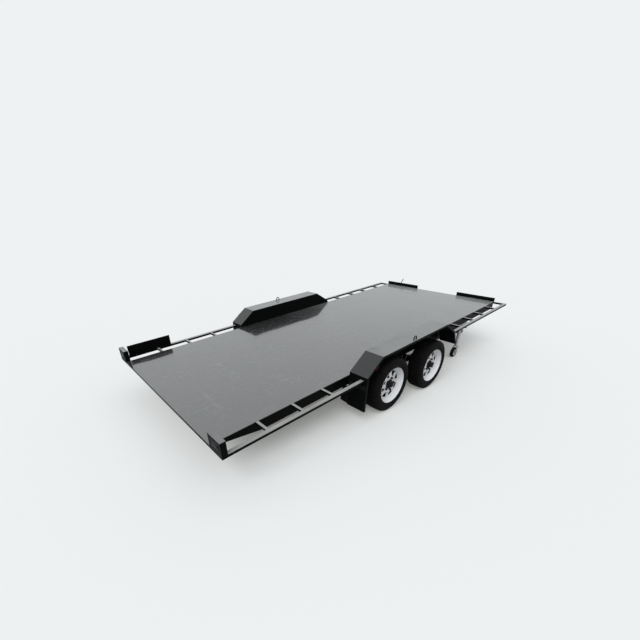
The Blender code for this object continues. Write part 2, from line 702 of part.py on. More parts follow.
def build_chassis_rails(paint, parent):
    """The two rails that carry the springs, each with its hangers, and the tilt pin at its rear end."""
    hanger_x = AXLE_OFFSET + SPRING_HALF
    outline = [(CHASSIS_FRONT, CHASSIS_BOTTOM), (CHASSIS_FRONT, CHASSIS_TOP), (PIN_X, CHASSIS_TOP)]
    outline += arc((PIN_X, PIN_HEIGHT), PIN_UNDER_TOP, radians(105), radians(225), 6)
    outline += [(PIN_X, CHASSIS_BOTTOM)]
    block = [(-BLOCK_HALF, CHASSIS_BOTTOM + WELD_DEPTH), (BLOCK_HALF, CHASSIS_BOTTOM + WELD_DEPTH)]
    block += arc((0, ROCKER_HEIGHT), ROCKER_BOSS, radians(-20), radians(-160), 4)
    block_half = HANGER_INNER - 2 * SEAT
    for side, word in SIDES.items():
        rail = make_object(f"chassis_rail_{word}", prism(outline, *across(side, CHASSIS_INNER, CHASSIS_OUTER)), paint,
                           parent)
        pin = rod(PIN_RADIUS, *across(side, BEAM_SPAN[0] - PIN_HEAD, RAIL_Y))
        parts = [make_object("pin_shape", pin, paint, parent, (PIN_X, 0, PIN_HEIGHT))]
        for place in (-hanger_x, hanger_x):
            parts += spring_hanger(side, place, paint, parent)
        y_low, y_high = across(side, -block_half, block_half, side * RAIL_Y)
        parts.append(make_object("rocker_hanger_shape", prism(block, y_low, y_high), paint, parent))
        shape_with(rail, parts)
        bore = rod(SHACKLE_PIN + PIN_PLAY, y_low - WELD_DEPTH, y_high + WELD_DEPTH, steps=BOLT_STEPS)
        hole = make_object("rocker_hole", bore, paint, parent, (0, 0, ROCKER_HEIGHT))
        shape_with(rail, [hole], "DIFFERENCE")


def build_cross_tubes(paint, parent):
    """Square tubes between the rails. The middle one carries the ram's base."""
    half = CHASSIS_INNER - SEAT
    bottom = CHASSIS_BOTTOM
    tubes = {}
    for word, place in CROSS_TUBES.items():
        mesh = box((place - CROSS_TUBE / 2, -half, bottom), (place + CROSS_TUBE / 2, half, bottom + CROSS_TUBE))
        tubes[word] = make_object(f"cross_tube_{word}", mesh, paint, parent)
    rear, front = CROSS_TUBES["middle"] - CROSS_TUBE / 2, CROSS_TUBES["middle"] + CROSS_TUBE / 2
    outline = [(rear, bottom + WELD_DEPTH), (rear, bottom - 2 * WELD_DEPTH)]
    outline += arc((RAM_BASE_X, RAM_BASE_HEIGHT), RAM_EYE_RADIUS, radians(-110), radians(50), 6)
    outline += [(front + WELD_DEPTH, bottom + WELD_DEPTH)]
    parts = []
    for side in SIDES:
        ear = prism(outline, *across(side, LUG_INNER, LUG_INNER + RAM_LUG))
        parts.append(make_object("base_ear_shape", ear, paint, parent))
    reach = LUG_INNER + RAM_LUG + RAM_BASE_PLAY
    pin = rod(RAM_PIN_RADIUS, -reach, reach)
    parts.append(make_object("base_pin_shape", pin, paint, parent, (RAM_BASE_X, 0, RAM_BASE_HEIGHT)))
    shape_with(tubes["middle"], parts)


def build_drawbar(paint, parent):
    """Two legs from the rails' front ends to the nose, joined by a head plate and a brace."""
    bottom = DRAWBAR_TOP - DRAWBAR_DEPTH
    start = CHASSIS_FRONT + SEAT
    run = DRAWBAR_NOSE - start
    slope = (CHASSIS_OUTER - DRAWBAR_NOSE_HALF) / run
    width = DRAWBAR_WIDTH * sqrt(1 + slope ** 2)
    parts = []
    for side in SIDES:
        outline = [(start, CHASSIS_OUTER), (DRAWBAR_NOSE, DRAWBAR_NOSE_HALF), (DRAWBAR_NOSE, DRAWBAR_NOSE_HALF - width),
                   (start, CHASSIS_OUTER - width)]
        leg = prism([(x, side * y) for x, y in outline], bottom, DRAWBAR_TOP, "Z")
        parts.append(make_object("drawbar", leg, paint, parent))
    half_rear = DRAWBAR_NOSE_HALF + slope * HEAD_LENGTH
    head = [(DRAWBAR_NOSE - HEAD_LENGTH, -half_rear), (DRAWBAR_NOSE, -DRAWBAR_NOSE_HALF),
            (DRAWBAR_NOSE, DRAWBAR_NOSE_HALF), (DRAWBAR_NOSE - HEAD_LENGTH, half_rear)]
    parts.append(make_object("head_shape", prism(head, DRAWBAR_TOP - HEAD_PLATE, DRAWBAR_TOP, "Z"), paint, parent))
    brace_x = start + BRACE_PLACE * run
    brace_y = CHASSIS_INNER - slope * (brace_x - start)
    brace = box((brace_x - BRACE_HALF, -brace_y, bottom + WELD_DEPTH),
                (brace_x + BRACE_HALF, brace_y, DRAWBAR_TOP - WELD_DEPTH))
    parts.append(make_object("brace_shape", brace, paint, parent))
    shape_with(parts[0], parts[1:])


def build_coupling(zinc, parent):
    """A ball coupling: a pressed body on the drawbar's head, its socket at the nose and a handle on top."""
    rear = DRAWBAR_NOSE - COUPLING_LAP
    ball_x = rear + COUPLING_LENGTH - COUPLING_NOSE
    floor = DRAWBAR_TOP + SEAT
    lip = floor - COUPLING_DROP
    body = [(rear, floor), (DRAWBAR_NOSE + COUPLING_STEP, floor)]
    body += [(ball_x + ahead, floor + up) for ahead, up in COUPLING_SHELL]
    body += [(rear, floor + COUPLING_BACK)]
    coupling = make_object("coupling", prism(body, -COUPLING_HALF, COUPLING_HALF), zinc, parent)
    handle = [(ball_x + ahead, floor + up) for ahead, up in COUPLING_HANDLE]
    shape_with(coupling, [make_object("handle_shape", prism(handle, -HANDLE_HALF, HANDLE_HALF), zinc, parent)])
    crown = floor + BALL_CROWN
    dome = arc((0, crown - BALL_RADIUS), BALL_RADIUS, 0, pi / 2, 3)
    socket = turned([(0, lip - WELD_DEPTH), (BALL_RADIUS, lip - WELD_DEPTH)] + dome[:-1] + [(0, crown)], BALL_STEPS,
                    "Z", closed=False)
    shape_with(coupling, [make_object("socket_shape", socket, zinc, parent, (ball_x, 0, 0))], "DIFFERENCE")


def build_axles(paint, parent):
    """Square beams with a brake plate and a spindle at each end."""
    plate_y = DRUM_INNER_Y - BRAKE_GAP
    half = AXLE_BEAM / 2
    for end, word in ((1, "front"), (-1, "rear")):
        place = (end * AXLE_OFFSET, 0, WHEEL_RADIUS)
        beam = make_object(f"axle_{word}", box((-half, -plate_y, -half), (half, plate_y, half)), paint, parent, place)
        ends = []
        for side in SIDES:
            plate = rod(DRUM_RADIUS, *across(side, plate_y - BRAKE_PLATE, plate_y), steps=HUB_STEPS)
            ends.append(make_object("brake_plate_shape", plate, paint, parent, place))
            spindle = rod(SPINDLE_RADIUS, *across(side, plate_y - SPINDLE_ROOT, plate_y + SPINDLE_REACH))
            ends.append(make_object("spindle_shape", spindle, paint, parent, place))
        shape_with(beam, ends)


def leaf_pack_outline():
    """The spring's side view about its axle: the main leaf's arc, and the shorter leaves' steps below it."""
    seat = -AXLE_BEAM / 2 - SEAT
    radius = (SPRING_HALF ** 2 + SPRING_RISE ** 2) / (2 * SPRING_RISE)
    flat = atan2(AXLE_BEAM / 2 + SPRING_FLAT, radius)
    centre = (0.0, seat + radius * cos(flat))
    reach = [asin(half / radius) for half in LEAF_ENDS]

    def on_arc(depth, angle):
        return centre[0] + depth * cos(STRAIGHT_DOWN + angle), centre[1] + depth * sin(STRAIGHT_DOWN + angle)

    top = arc(centre, radius, STRAIGHT_DOWN - reach[0], STRAIGHT_DOWN - flat, 4)
    top += arc(centre, radius, STRAIGHT_DOWN + flat, STRAIGHT_DOWN + reach[0], 4)
    steps = []
    for number, angle in enumerate(reach):
        depth = radius + LEAF * (number + 1)
        steps.append(on_arc(depth, angle))
        if number + 1 < len(reach):
            steps.append(on_arc(depth, reach[number + 1]))
    deepest = radius + LEAF * len(reach)
    floor = arc(centre, deepest, STRAIGHT_DOWN + reach[-1], STRAIGHT_DOWN - reach[-1], 4)[1:-1]
    return top + steps + floor + [(-x, z) for x, z in reversed(steps)]


def build_springs(paint, parent):
    """Leaf packs under the beams, from the hangers to the rockers, each with its seat plate."""
    seat = -AXLE_BEAM / 2 - SEAT
    plate_low, plate_high = seat - LEAF * len(LEAF_ENDS) - SEAT_PLATE, seat - LEAF * (len(LEAF_ENDS) - 0.5)
    for (end, side), word in WHEEL_NAMES.items():
        y_low, y_high = across(side, -SPRING_WIDTH / 2, SPRING_WIDTH / 2, side * RAIL_Y)
        place = (end * AXLE_OFFSET, 0, WHEEL_RADIUS)
        spring = make_object(f"spring_{word}", prism(leaf_pack_outline(), y_low, y_high), paint, parent, place)
        added, holes = [], []
        for way in (-1, 1):
            eye = (place[0] + way * SPRING_HALF, 0, SPRING_EYE_HEIGHT)
            added.append(make_object("eye_shape", rod(EYE_RADIUS - EYE_WALL, y_low, y_high, steps=BOLT_STEPS), paint, parent, eye))
            bore = rod(SHACKLE_PIN + PIN_PLAY, y_low - WELD_DEPTH, y_high + WELD_DEPTH, steps=BOLT_STEPS)
            holes.append(make_object("eye_hole", bore, paint, parent, eye))
        plate = box((-SEAT_HALF, y_low - SEAT_PLATE, plate_low), (SEAT_HALF, y_high + SEAT_PLATE, plate_high))
        added.append(make_object("seat_shape", plate, paint, parent, place))
        shape_with(spring, added)
        shape_with(spring, holes, "DIFFERENCE")


def build_rockers(paint, parent):
    """Two plates on the middle hanger of each side share the load between the springs' inner eyes."""
    eye_x = AXLE_OFFSET - SPRING_HALF
    eyes = ((-eye_x, SPRING_EYE_HEIGHT), (0.0, ROCKER_HEIGHT), (eye_x, SPRING_EYE_HEIGHT))
    outline = arc(eyes[0], EYE_RADIUS, radians(-90), radians(-250), 4)
    outline += arc(eyes[1], ROCKER_BOSS, radians(110), radians(70), 3)
    outline += arc(eyes[2], EYE_RADIUS, radians(70), radians(-90), 4)
    for side, word in SIDES.items():
        parts = []
        for way in SIDES:
            plate = prism(outline, *across(way, HANGER_INNER, HANGER_OUTER, side * RAIL_Y))
            parts.append(make_object(f"rocker_{word}", plate, paint, parent))
        for place, height in eyes:
            bolt = rod(SHACKLE_PIN, *across(side, -BOLT_HALF, BOLT_HALF, side * RAIL_Y), steps=BOLT_STEPS)
            parts.append(make_object("bolt_shape", bolt, paint, parent, (place, 0, height)))
        shape_with(parts[0], parts[2:] + [parts[1]])


def ram_places():
    """The ram's base pin and its rod's eye at rest, in the chassis frame."""
    eye_x, eye_z = ram_eye_on_bed()
    eye = Matrix.Rotation(-REST_TILT, 3, "Y") @ Vector((eye_x, 0, eye_z)) + Vector((PIN_X, 0, PIN_HEIGHT))
    return Vector((RAM_BASE_X, 0, RAM_BASE_HEIGHT)), eye


def build_ram(paint, chrome, parent):
    """A hydraulic ram from the middle cross tube to the bed: the barrel swings, the rod slides."""
    base, eye = ram_places()
    line = eye - base
    pitch = -atan2(line.z, line.x)
    end = line.length * RAM_BARREL_SHARE
    half = RAM_EYE_WIDTH / 2
    cap = RAM_EYE_RADIUS + RAM_CAP
    collar = RAM_RADIUS + RAM_COLLAR
    bore = RAM_ROD_RADIUS + PIN_PLAY
    profile = [(0, RAM_NECK), (half, RAM_NECK), (half, cap), (RAM_RADIUS, cap + RAM_COLLAR),
               (RAM_RADIUS, end - RAM_COLLAR_LENGTH), (collar, end - RAM_COLLAR_LENGTH), (collar, end), (bore, end),
               (bore, cap + RAM_FLOOR), (0, cap + RAM_FLOOR)]
    barrel = make_object("ram_barrel", turned(profile, RAM_STEPS, "X", closed=False), paint, parent, base, pitch)
    shape_with(barrel, [make_object("eye_shape", rod(RAM_EYE_RADIUS, -half, half), paint, parent, base, pitch)])
    hole = rod(RAM_PIN_RADIUS + PIN_PLAY, -RAM_EYE_WIDTH, RAM_EYE_WIDTH)
    shape_with(barrel, [make_object("eye_hole", hole, paint, parent, base, pitch)], "DIFFERENCE")
    shaft = rod(RAM_ROD_RADIUS, end - RAM_OVERLAP, line.length - RAM_NECK, "X", steps=RAM_STEPS)
    ram_rod = make_object("ram_rod", shaft, chrome, parent, base, pitch)
    pin_half = RAM_LUG_GAP / 2 - 2 * PIN_PLAY
    ends = [rod(RAM_EYE_RADIUS, -half, half), rod(RAM_PIN_RADIUS, -pin_half, pin_half)]
    shape_with(ram_rod, [make_object("rod_end_shape", shape, chrome, parent, eye, pitch) for shape in ends])


def build_jockey_tube(zinc, spot):
    """The jockey wheel's outer tube, clamped to the rail, with its crank on top and a loop to lift it by."""
    bore = JOCKEY_LEG_RADIUS + PIN_PLAY
    outer = JOCKEY_TUBE_RADIUS
    roof = JOCKEY_TOP - JOCKEY_CAP
    profile = [(0, roof - JOCKEY_CAP), (bore, roof - JOCKEY_CAP), (bore, JOCKEY_TUBE_BOTTOM),
               (outer, JOCKEY_TUBE_BOTTOM), (outer, roof), (0, roof)]
    tube = make_object("jockey_tube", turned(profile, JOCKEY_STEPS, "Z", closed=False), zinc, spot)
    low = CHASSIS_BOTTOM + COLLAR_INSET
    high = low + COLLAR_HEIGHT
    section = [(outer - WELD_LAP, low), (outer + COLLAR_WALL, low), (outer + COLLAR_WALL, high), (outer - WELD_LAP, high)]
    rail_face = -JOCKEY_Y - CHASSIS_OUTER - SEAT
    bracket = box((-BRACKET_HALF, outer - WELD_LAP, low + COLLAR_INSET),
                  (BRACKET_HALF, rail_face, high - COLLAR_INSET))
    crank = box((-CRANK_LENGTH, -CRANK_HALF, JOCKEY_TOP + JOCKEY_CAP - CRANK_DEPTH),
                (CRANK_HALF, CRANK_HALF, JOCKEY_TOP + JOCKEY_CAP))
    knob = rod(KNOB_RADIUS, JOCKEY_TOP - KNOB_LENGTH, JOCKEY_TOP, "Z", steps=BOLT_STEPS)
    bmesh.ops.translate(knob, vec=(KNOB_RADIUS / 2 - CRANK_LENGTH, 0, 0), verts=knob.verts)
    loop = turned(arc((LOOP_RADIUS, 0), LOOP_BAR, 0, 2 * pi, 6)[:-1], LOOP_STEPS)
    bmesh.ops.scale(loop, vec=(1, 1, LOOP_STRETCH), verts=loop.verts)
    bmesh.ops.translate(loop, vec=(outer + LOOP_RADIUS, 0, low), verts=loop.verts)
    shapes = [turned(section, JOCKEY_STEPS, "Z"), bracket, crank, knob, loop]
    shape_with(tube, [make_object("clamp_shape", shape, zinc, spot) for shape in shapes])


def build_jockey(zinc, rubber, parent):
    """The parking wheel on the right rail: a clamped tube, a leg that winds up, a castor fork and a wheel."""
    spot = make_empty("jockey_axis", parent, (JOCKEY_X, JOCKEY_Y, 0))
    build_jockey_tube(zinc, spot)
    leg = rod(JOCKEY_LEG_RADIUS, JOCKEY_FORK_TOP + SEAT, JOCKEY_TUBE_BOTTOM + JOCKEY_LEG_LAP, "Z", steps=JOCKEY_STEPS)
    make_object("jockey_leg", leg, zinc, spot)
    hub = (-JOCKEY_TRAIL, 0, JOCKEY_WHEEL_RADIUS)
    half = JOCKEY_WHEEL_WIDTH / 2
    cheek = half + FORK_GAP
    outline = [(FORK_HALF, JOCKEY_FORK_TOP), (-FORK_HALF, JOCKEY_FORK_TOP)]
    outline += arc((-JOCKEY_TRAIL, JOCKEY_WHEEL_RADIUS), FORK_FOOT, radians(170), radians(350), 6)
    parts = [make_object("jockey_fork", prism(outline, *across(side, cheek, cheek + FORK_SHEET)), zinc, spot)
             for side in SIDES]
    crown = box((-FORK_HALF, -cheek - FORK_SHEET / 2, JOCKEY_FORK_TOP - FORK_SHEET),
                (FORK_HALF, cheek + FORK_SHEET / 2, JOCKEY_FORK_TOP))
    parts.append(make_object("crown_shape", crown, zinc, spot))
    axle = rod(JOCKEY_AXLE, -cheek - 2 * FORK_SHEET, cheek + 2 * FORK_SHEET, steps=BOLT_STEPS)
    parts.append(make_object("axle_shape", axle, zinc, spot, hub))
    shape_with(parts[0], parts[1:])
    outer = JOCKEY_WHEEL_RADIUS / cos(pi / JOCKEY_STEPS)
    bore = JOCKEY_AXLE + PIN_PLAY
    web = WHEEL_HUB + WHEEL_HOLLOW
    side = [(bore, half), (WHEEL_HUB, half), (web, half - WHEEL_HOLLOW), (WHEEL_RIM, half),
            (outer - WHEEL_HOLLOW, half), (outer, half - WHEEL_HOLLOW)]
    profile = [(r, -y) for r, y in side] + list(reversed(side))
    wheel = turned(profile, JOCKEY_STEPS)
    make_object("jockey_wheel", wheel, rubber, spot, hub, smooth=radians(35))


def tyre_profile():
    """The tyre's section, from its inner bead round the tread, its tread flats on the ground."""
    outer = WHEEL_RADIUS / cos(pi / WHEEL_STEPS)
    wall = outer - RIM_RADIUS
    half = TYRE_WIDTH / 2
    bead = RIM_RADIUS - BEAD_DROP + SEAT * sqrt(2)
    rim_half = half - RIM_INSET
    side = [(bead, rim_half - BEAD_DROP), (bead + BEAD_DROP, rim_half), (RIM_RADIUS + TYRE_BEAD * wall, rim_half + WELD_LAP),
            (RIM_RADIUS + TYRE_BELLY * wall, half), (outer - TYRE_SHOULDER * wall, half - SHOULDER_INSET),
            (outer - TREAD_CROWN, half - TREAD_INSET)]
    return [(r, -y) for r, y in side] + [(outer, 0.0)] + [(r, y) for r, y in reversed(side)]


def rim_profile():
    """The rim's section with its disc: a drop-centre well between two flanges, and a raised ring on the disc."""
    half = TYRE_WIDTH / 2 - RIM_INSET
    seat = RIM_RADIUS - BEAD_DROP
    well = RIM_RADIUS - WELL_DROP
    disc = half - DISC_INSET
    bore = (HUB_RADIUS + SEAT) / cos(pi / WHEEL_STEPS)
    outer = [(RIM_RADIUS, -half), (seat, BEAD_DROP - half), (well, -disc), (well, disc), (seat, half - BEAD_DROP),
             (RIM_RADIUS, half)]
    bead_wall = half - BEAD_DROP - RIM_WALL / 2
    front = [(RIM_RADIUS - RIM_WALL, half), (seat - RIM_WALL, bead_wall), (well - RIM_WALL, disc - DISC_DISH),
             (bore + DISC_RING, disc + DISC_RISE), (bore, disc)]
    back = [(bore, disc - DISC_THICKNESS), (bore + DISC_RING, disc + DISC_RISE - DISC_THICKNESS),
            (well - RIM_WALL, disc - DISC_DISH - DISC_THICKNESS), (well - RIM_WALL, -disc - RIM_WALL / 2),
            (seat - RIM_WALL, -bead_wall), (RIM_RADIUS - RIM_WALL, -half)]
    return outer + front + back


def hub_profile(disc_y):
    """The hub's section with its drum: an open bore for the spindle behind, a stepped cap in front."""
    inner = DRUM_INNER_Y - WHEEL_Y + SEAT
    bore = SPINDLE_RADIUS + PIN_PLAY
    seat = disc_y - DISC_THICKNESS - SEAT
    return [(0, inner + SPINDLE_BORE), (bore, inner + SPINDLE_BORE), (bore, inner), (DRUM_RADIUS, inner),
            (DRUM_RADIUS, inner + DRUM_WIDTH), (DRUM_NECK, inner + DRUM_WIDTH + DRUM_CONE), (DRUM_NECK, seat),
            (HUB_RADIUS, seat), (HUB_RADIUS, disc_y + HUB_STEP), (CAP_RADIUS, disc_y + 2 * HUB_STEP),
            (CAP_NOSE_RADIUS, disc_y + HUB_NOSE), (0, disc_y + HUB_NOSE)]


def rim_window(number, y_low, y_high):
    """A window's cutter through the disc: narrow to the hub, bowed at the rim."""
    angle = 2 * pi * (number + 0.5) / RIM_WINDOWS
    outline = [(WINDOW_INNER, 0.0), (WINDOW_OUTER - WINDOW_BOW, -WINDOW_HALF), (WINDOW_OUTER, 0.0),
               (WINDOW_OUTER - WINDOW_BOW, WINDOW_HALF)]
    placed = [(r * cos(angle) - t * sin(angle), r * sin(angle) + t * cos(angle)) for r, t in outline]
    return prism(placed, y_low, y_high)


def build_wheels(rubber, white, dark, parent):
    """Four wheels: tyre, steel rim with windows in its disc, and hub."""
    disc_y = TYRE_WIDTH / 2 - RIM_INSET - DISC_INSET
    for (end, side), word in WHEEL_NAMES.items():
        place = (end * AXLE_OFFSET, side * WHEEL_Y, WHEEL_RADIUS)
        tyre = turned([(r, side * y) for r, y in tyre_profile()], WHEEL_STEPS)
        make_object(f"tyre_{word}", tyre, rubber, parent, place, smooth=radians(40))
        rim = turned([(r, side * y) for r, y in rim_profile()], WHEEL_STEPS)
        rim = make_object(f"rim_{word}", rim, white, parent, place, smooth=radians(35))
        span = across(side, disc_y - WELL_DROP, disc_y + WELL_DROP)
        windows = [make_object("window_shape", rim_window(number, *span), white, parent, place)
                   for number in range(RIM_WINDOWS)]
        shape_with(rim, windows, "DIFFERENCE")
        hub = turned([(r, side * y) for r, y in hub_profile(disc_y)], HUB_STEPS, closed=False)
        make_object(f"hub_{word}", hub, dark, parent, place, smooth=radians(35))


def middle_of_length():
    """Halfway from the bed's rearmost corner to the coupling's nose, so that the origin is under the middle."""
    heights = (PIN_BELOW_DECK, PIN_BELOW_DECK + LIGHT_BOX_HEIGHT)
    rear = min(PIN_X - PIN_FROM_REAR * cos(REST_TILT) - height * sin(REST_TILT) for height in heights)
    nose = DRAWBAR_NOSE - COUPLING_LAP + COUPLING_LENGTH
    return (rear + nose) / 2


def main():
    clear_scene()
    black = make_material("black_paint", (0.02, 0.02, 0.02), 0.4)
    deck = make_material("wet_deck_steel", (0.16, 0.17, 0.17), 0.25, 0.6)
    rubber = make_material("tyre_rubber", (0.02, 0.02, 0.02), 0.8)
    white = make_material("rim_paint", (0.82, 0.83, 0.85), 0.35)
    zinc = make_material("zinc_plate", (0.55, 0.56, 0.57), 0.4, 0.9)
    chrome = make_material("ram_chrome", (0.7, 0.7, 0.72), 0.15, 1.0)
    lens = make_material("red_lens", (0.45, 0.01, 0.01), 0.2)
    smoked = make_material("smoked_lens", (0.02, 0.006, 0.006), 0.15)
    under = make_material("axle_paint", (0.035, 0.035, 0.035), 0.6)
    dark = make_material("hub_paint", (0.03, 0.03, 0.03), 0.5)
    chassis = make_empty("chassis_origin", location=(-middle_of_length(), 0, 0))
    bed = make_empty("tilt_axis", chassis, (PIN_X, 0, PIN_HEIGHT), -REST_TILT)
    build_deck(deck, bed)
    build_bed_frame(black, bed)
    build_side_rails(black, bed)
    build_mudguards(black, bed)
    build_light_boxes(black, smoked, bed)
    build_marker_lamps(lens, bed)
    build_lashing_rings(black, bed)
    build_wheel_stops(black, bed)
    build_side_plate(black, bed)
    build_latch_lever(black, bed)
    build_chassis_rails(black, chassis)
    build_cross_tubes(black, chassis)
    build_drawbar(black, chassis)
    build_coupling(zinc, chassis)
    build_axles(under, chassis)
    build_springs(under, chassis)
    build_rockers(under, chassis)
    build_ram(black, chrome, chassis)
    build_jockey(zinc, rubber, chassis)
    build_wheels(rubber, white, dark, chassis)


if __name__ == "__main__":
    main()
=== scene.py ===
"""Dresses the tilt-bed car trailer: its finishes, road wheels, lamps and hardware, and the studio round it.

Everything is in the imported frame, in metres: +X to the coupling, +Y to the left, +Z up, the ground at 0.
"""

import json
import logging
import math
from dataclasses import dataclass
from enum import Enum
from typing import Callable, Iterable, Sequence

import bmesh
import bpy
from mathutils import Matrix, Vector

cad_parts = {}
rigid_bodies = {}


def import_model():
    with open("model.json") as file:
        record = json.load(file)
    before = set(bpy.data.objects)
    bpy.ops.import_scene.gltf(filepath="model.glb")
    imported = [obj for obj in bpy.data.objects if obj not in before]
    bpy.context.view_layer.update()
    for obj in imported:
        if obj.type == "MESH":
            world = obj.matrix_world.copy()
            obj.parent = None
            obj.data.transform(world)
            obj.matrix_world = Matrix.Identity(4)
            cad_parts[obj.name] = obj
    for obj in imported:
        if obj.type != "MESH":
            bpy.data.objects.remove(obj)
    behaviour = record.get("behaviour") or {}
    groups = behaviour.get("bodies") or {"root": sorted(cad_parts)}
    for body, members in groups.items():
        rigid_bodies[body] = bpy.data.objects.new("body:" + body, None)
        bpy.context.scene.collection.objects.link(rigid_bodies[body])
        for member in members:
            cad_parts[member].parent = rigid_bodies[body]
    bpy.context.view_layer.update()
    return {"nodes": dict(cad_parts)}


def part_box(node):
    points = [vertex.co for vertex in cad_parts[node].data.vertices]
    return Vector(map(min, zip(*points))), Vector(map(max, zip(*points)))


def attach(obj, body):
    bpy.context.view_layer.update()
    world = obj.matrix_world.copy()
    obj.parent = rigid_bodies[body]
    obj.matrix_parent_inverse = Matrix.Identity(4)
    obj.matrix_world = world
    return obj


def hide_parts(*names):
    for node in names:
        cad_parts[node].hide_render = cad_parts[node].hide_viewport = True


log = logging.getLogger("trailer")

Colour = tuple[float, float, float]
Socket = bpy.types.NodeSocket
Piece = bpy.types.Object
Section = list[tuple[float, float]]
Outline = Sequence[tuple[float, float]]
Corners = tuple[tuple[float, float], ...]

PHOTO_PIXELS = 640
SENSOR = 36.0
DEGREE = math.pi / 180
FULL_TURN = 2 * math.pi
WELD_DISTANCE = 0.00002

TILT_PIN = Vector((-1.55167, 0.0, 0.42))
REST_TILT = 4.08
ON_BED = Matrix.Translation(TILT_PIN) @ Matrix.Rotation(-REST_TILT * DEGREE, 4, "Y")
ON_DECK = ON_BED @ Matrix.Translation((-1.577, 0.0, 0.075))
ON_CHASSIS = Matrix.Translation((-0.75167, 0.0, 0.0))
SIDES = {1: "left", -1: "right"}
ALONG_Y = Vector((0.0, 1.0, 0.0))
UP = (0.0, 0.0, 1.0)
DOWN = (0.0, 0.0, -1.0)
QUARTER_TURN = Matrix.Rotation(math.pi / 2, 4, "Z")


class Slot(Enum):
    """The record's material slots, one for each finish."""

    BLACK_PAINT = "black_paint"
    AXLE_PAINT = "axle_paint"
    HUB_PAINT = "hub_paint"
    DECK_STEEL = "deck_steel"
    TYRE = "tyre"
    RIM_PAINT = "rim_paint"
    ZINC = "zinc"
    JOCKEY_RUBBER = "jockey_rubber"
    RAM_CHROME = "ram_chrome"
    RED_LENS = "red_lens"
    SMOKED_LENS = "smoked_lens"


NODE_SLOTS = {
    "deck_plate": Slot.DECK_STEEL,
    "tail_lamp": Slot.SMOKED_LENS,
    "marker_lamp": Slot.RED_LENS,
    "axle": Slot.AXLE_PAINT,
    "spring": Slot.AXLE_PAINT,
    "rocker": Slot.AXLE_PAINT,
    "hub": Slot.HUB_PAINT,
    "tyre": Slot.TYRE,
    "rim": Slot.RIM_PAINT,
    "coupling": Slot.ZINC,
    "jockey_wheel": Slot.JOCKEY_RUBBER,
    "jockey": Slot.ZINC,
    "ram_barrel": Slot.BLACK_PAINT,
    "ram_rod": Slot.RAM_CHROME,
}


class Graph:
    """A node tree written one node at a time."""

    def __init__(self, tree: bpy.types.NodeTree) -> None:
        """Keeps the tree that the nodes go to."""
        self.tree = tree

    def add(self, kind: str, inputs: dict | None = None, **settings: object) -> bpy.types.Node:
        """Adds one node.

        Args:
            kind: the node's type name.
            inputs: a value or an output socket for each named or numbered input.
            settings: the node's own properties.

        Returns:
            The new node.
        """
        node = self.tree.nodes.new(kind)
        for name, value in settings.items():
            setattr(node, name, value)
        for key, value in (inputs or {}).items():
            if isinstance(value, Socket):
                self.tree.links.new(value, node.inputs[key])
            else:
                node.inputs[key].default_value = value
        return node

    def maths(self, operation: str, first: Socket | float, second: Socket | float = 0.0) -> Socket:
        """The result of one Math node."""
        node = self.add("ShaderNodeMath", {0: first, 1: second}, operation=operation)
        return node.outputs[0]

    def product(self, first: Socket, *others: Socket | float) -> Socket:
        """Several values multiplied.

        Args:
            first: the first value.
            others: the values that it is multiplied by.

        Returns:
            The product.
        """
        for other in others:
            first = self.maths("MULTIPLY", first, other)
        return first

    def axis(self, place: Socket, letter: str) -> Socket:
        """One coordinate of a place or a direction."""
        return self.add("ShaderNodeSeparateXYZ", {0: place}).outputs[letter]

    def upward(self) -> Socket:
        """How far the surface faces up, from -1 to 1."""
        return self.axis(self.add("ShaderNodeNewGeometry").outputs["Normal"], "Z")

    def span(self, value: Socket, low: float, high: float, to_low: float = 0.0,
             to_high: float = 1.0) -> Socket:
        """A value stretched from one range to another, and held at its ends."""
        inputs = {"Value": value, "From Min": low, "From Max": high, "To Min": to_low, "To Max": to_high}
        return self.add("ShaderNodeMapRange", inputs).outputs[0]

    def blend(self, factor: Socket | float, first: Socket | Colour, second: Socket | Colour) -> Socket:
        """Two colours mixed by a factor.

        Args:
            factor: how much of the second colour shows, from 0 to 1.
            first: the colour at 0.
            second: the colour at 1.

        Returns:
            The mixed colour.
        """
        first = first if isinstance(first, Socket) else (*first, 1.0)
        second = second if isinstance(second, Socket) else (*second, 1.0)
        node = self.add("ShaderNodeMix", {0: factor, 6: first, 7: second}, data_type="RGBA")
        return node.outputs[2]

    def noise(self, place: Socket, scale: float, detail: float = 4.0, roughness: float = 0.55) -> Socket:
        """A noise value over a place."""
        inputs = {"Vector": place, "Scale": scale, "Detail": detail, "Roughness": roughness}
        return self.add("ShaderNodeTexNoise", inputs).outputs["Fac"]

    def stretched(self, place: Socket, scale: Sequence[float], turn: float = 0.0) -> Socket:
        """A place turned about Z in degrees and scaled along its axes, so that a pattern runs one way."""
        inputs = {"Vector": place, "Rotation": (0.0, 0.0, turn * DEGREE), "Scale": scale}
        return self.add("ShaderNodeMapping", inputs).outputs[0]


def dimmed(colour: Colour, share: float) -> Colour:
    """A colour with only a share of its light."""
    return tuple(share * part for part in colour)


def shared_group(name: str, inputs: dict[str, float],
                 outputs: dict[str, str]) -> tuple[Graph, dict[str, Socket]]:
    """Starts a shader node group that several materials use.

    Args:
        name: the group's name.
        inputs: its value inputs, with their defaults.
        outputs: its outputs, with their socket types.

    Returns:
        The group's graph, and its input sockets by name.
    """
    tree = bpy.data.node_groups.new(name, "ShaderNodeTree")
    for word, value in inputs.items():
        socket = tree.interface.new_socket(name=word, in_out="INPUT", socket_type="NodeSocketFloat")
        socket.default_value = value
    for word, kind in outputs.items():
        tree.interface.new_socket(name=word, in_out="OUTPUT", socket_type=kind)
    graph = Graph(tree)
    entry = graph.add("NodeGroupInput")
    return graph, {word: entry.outputs[word] for word in inputs}


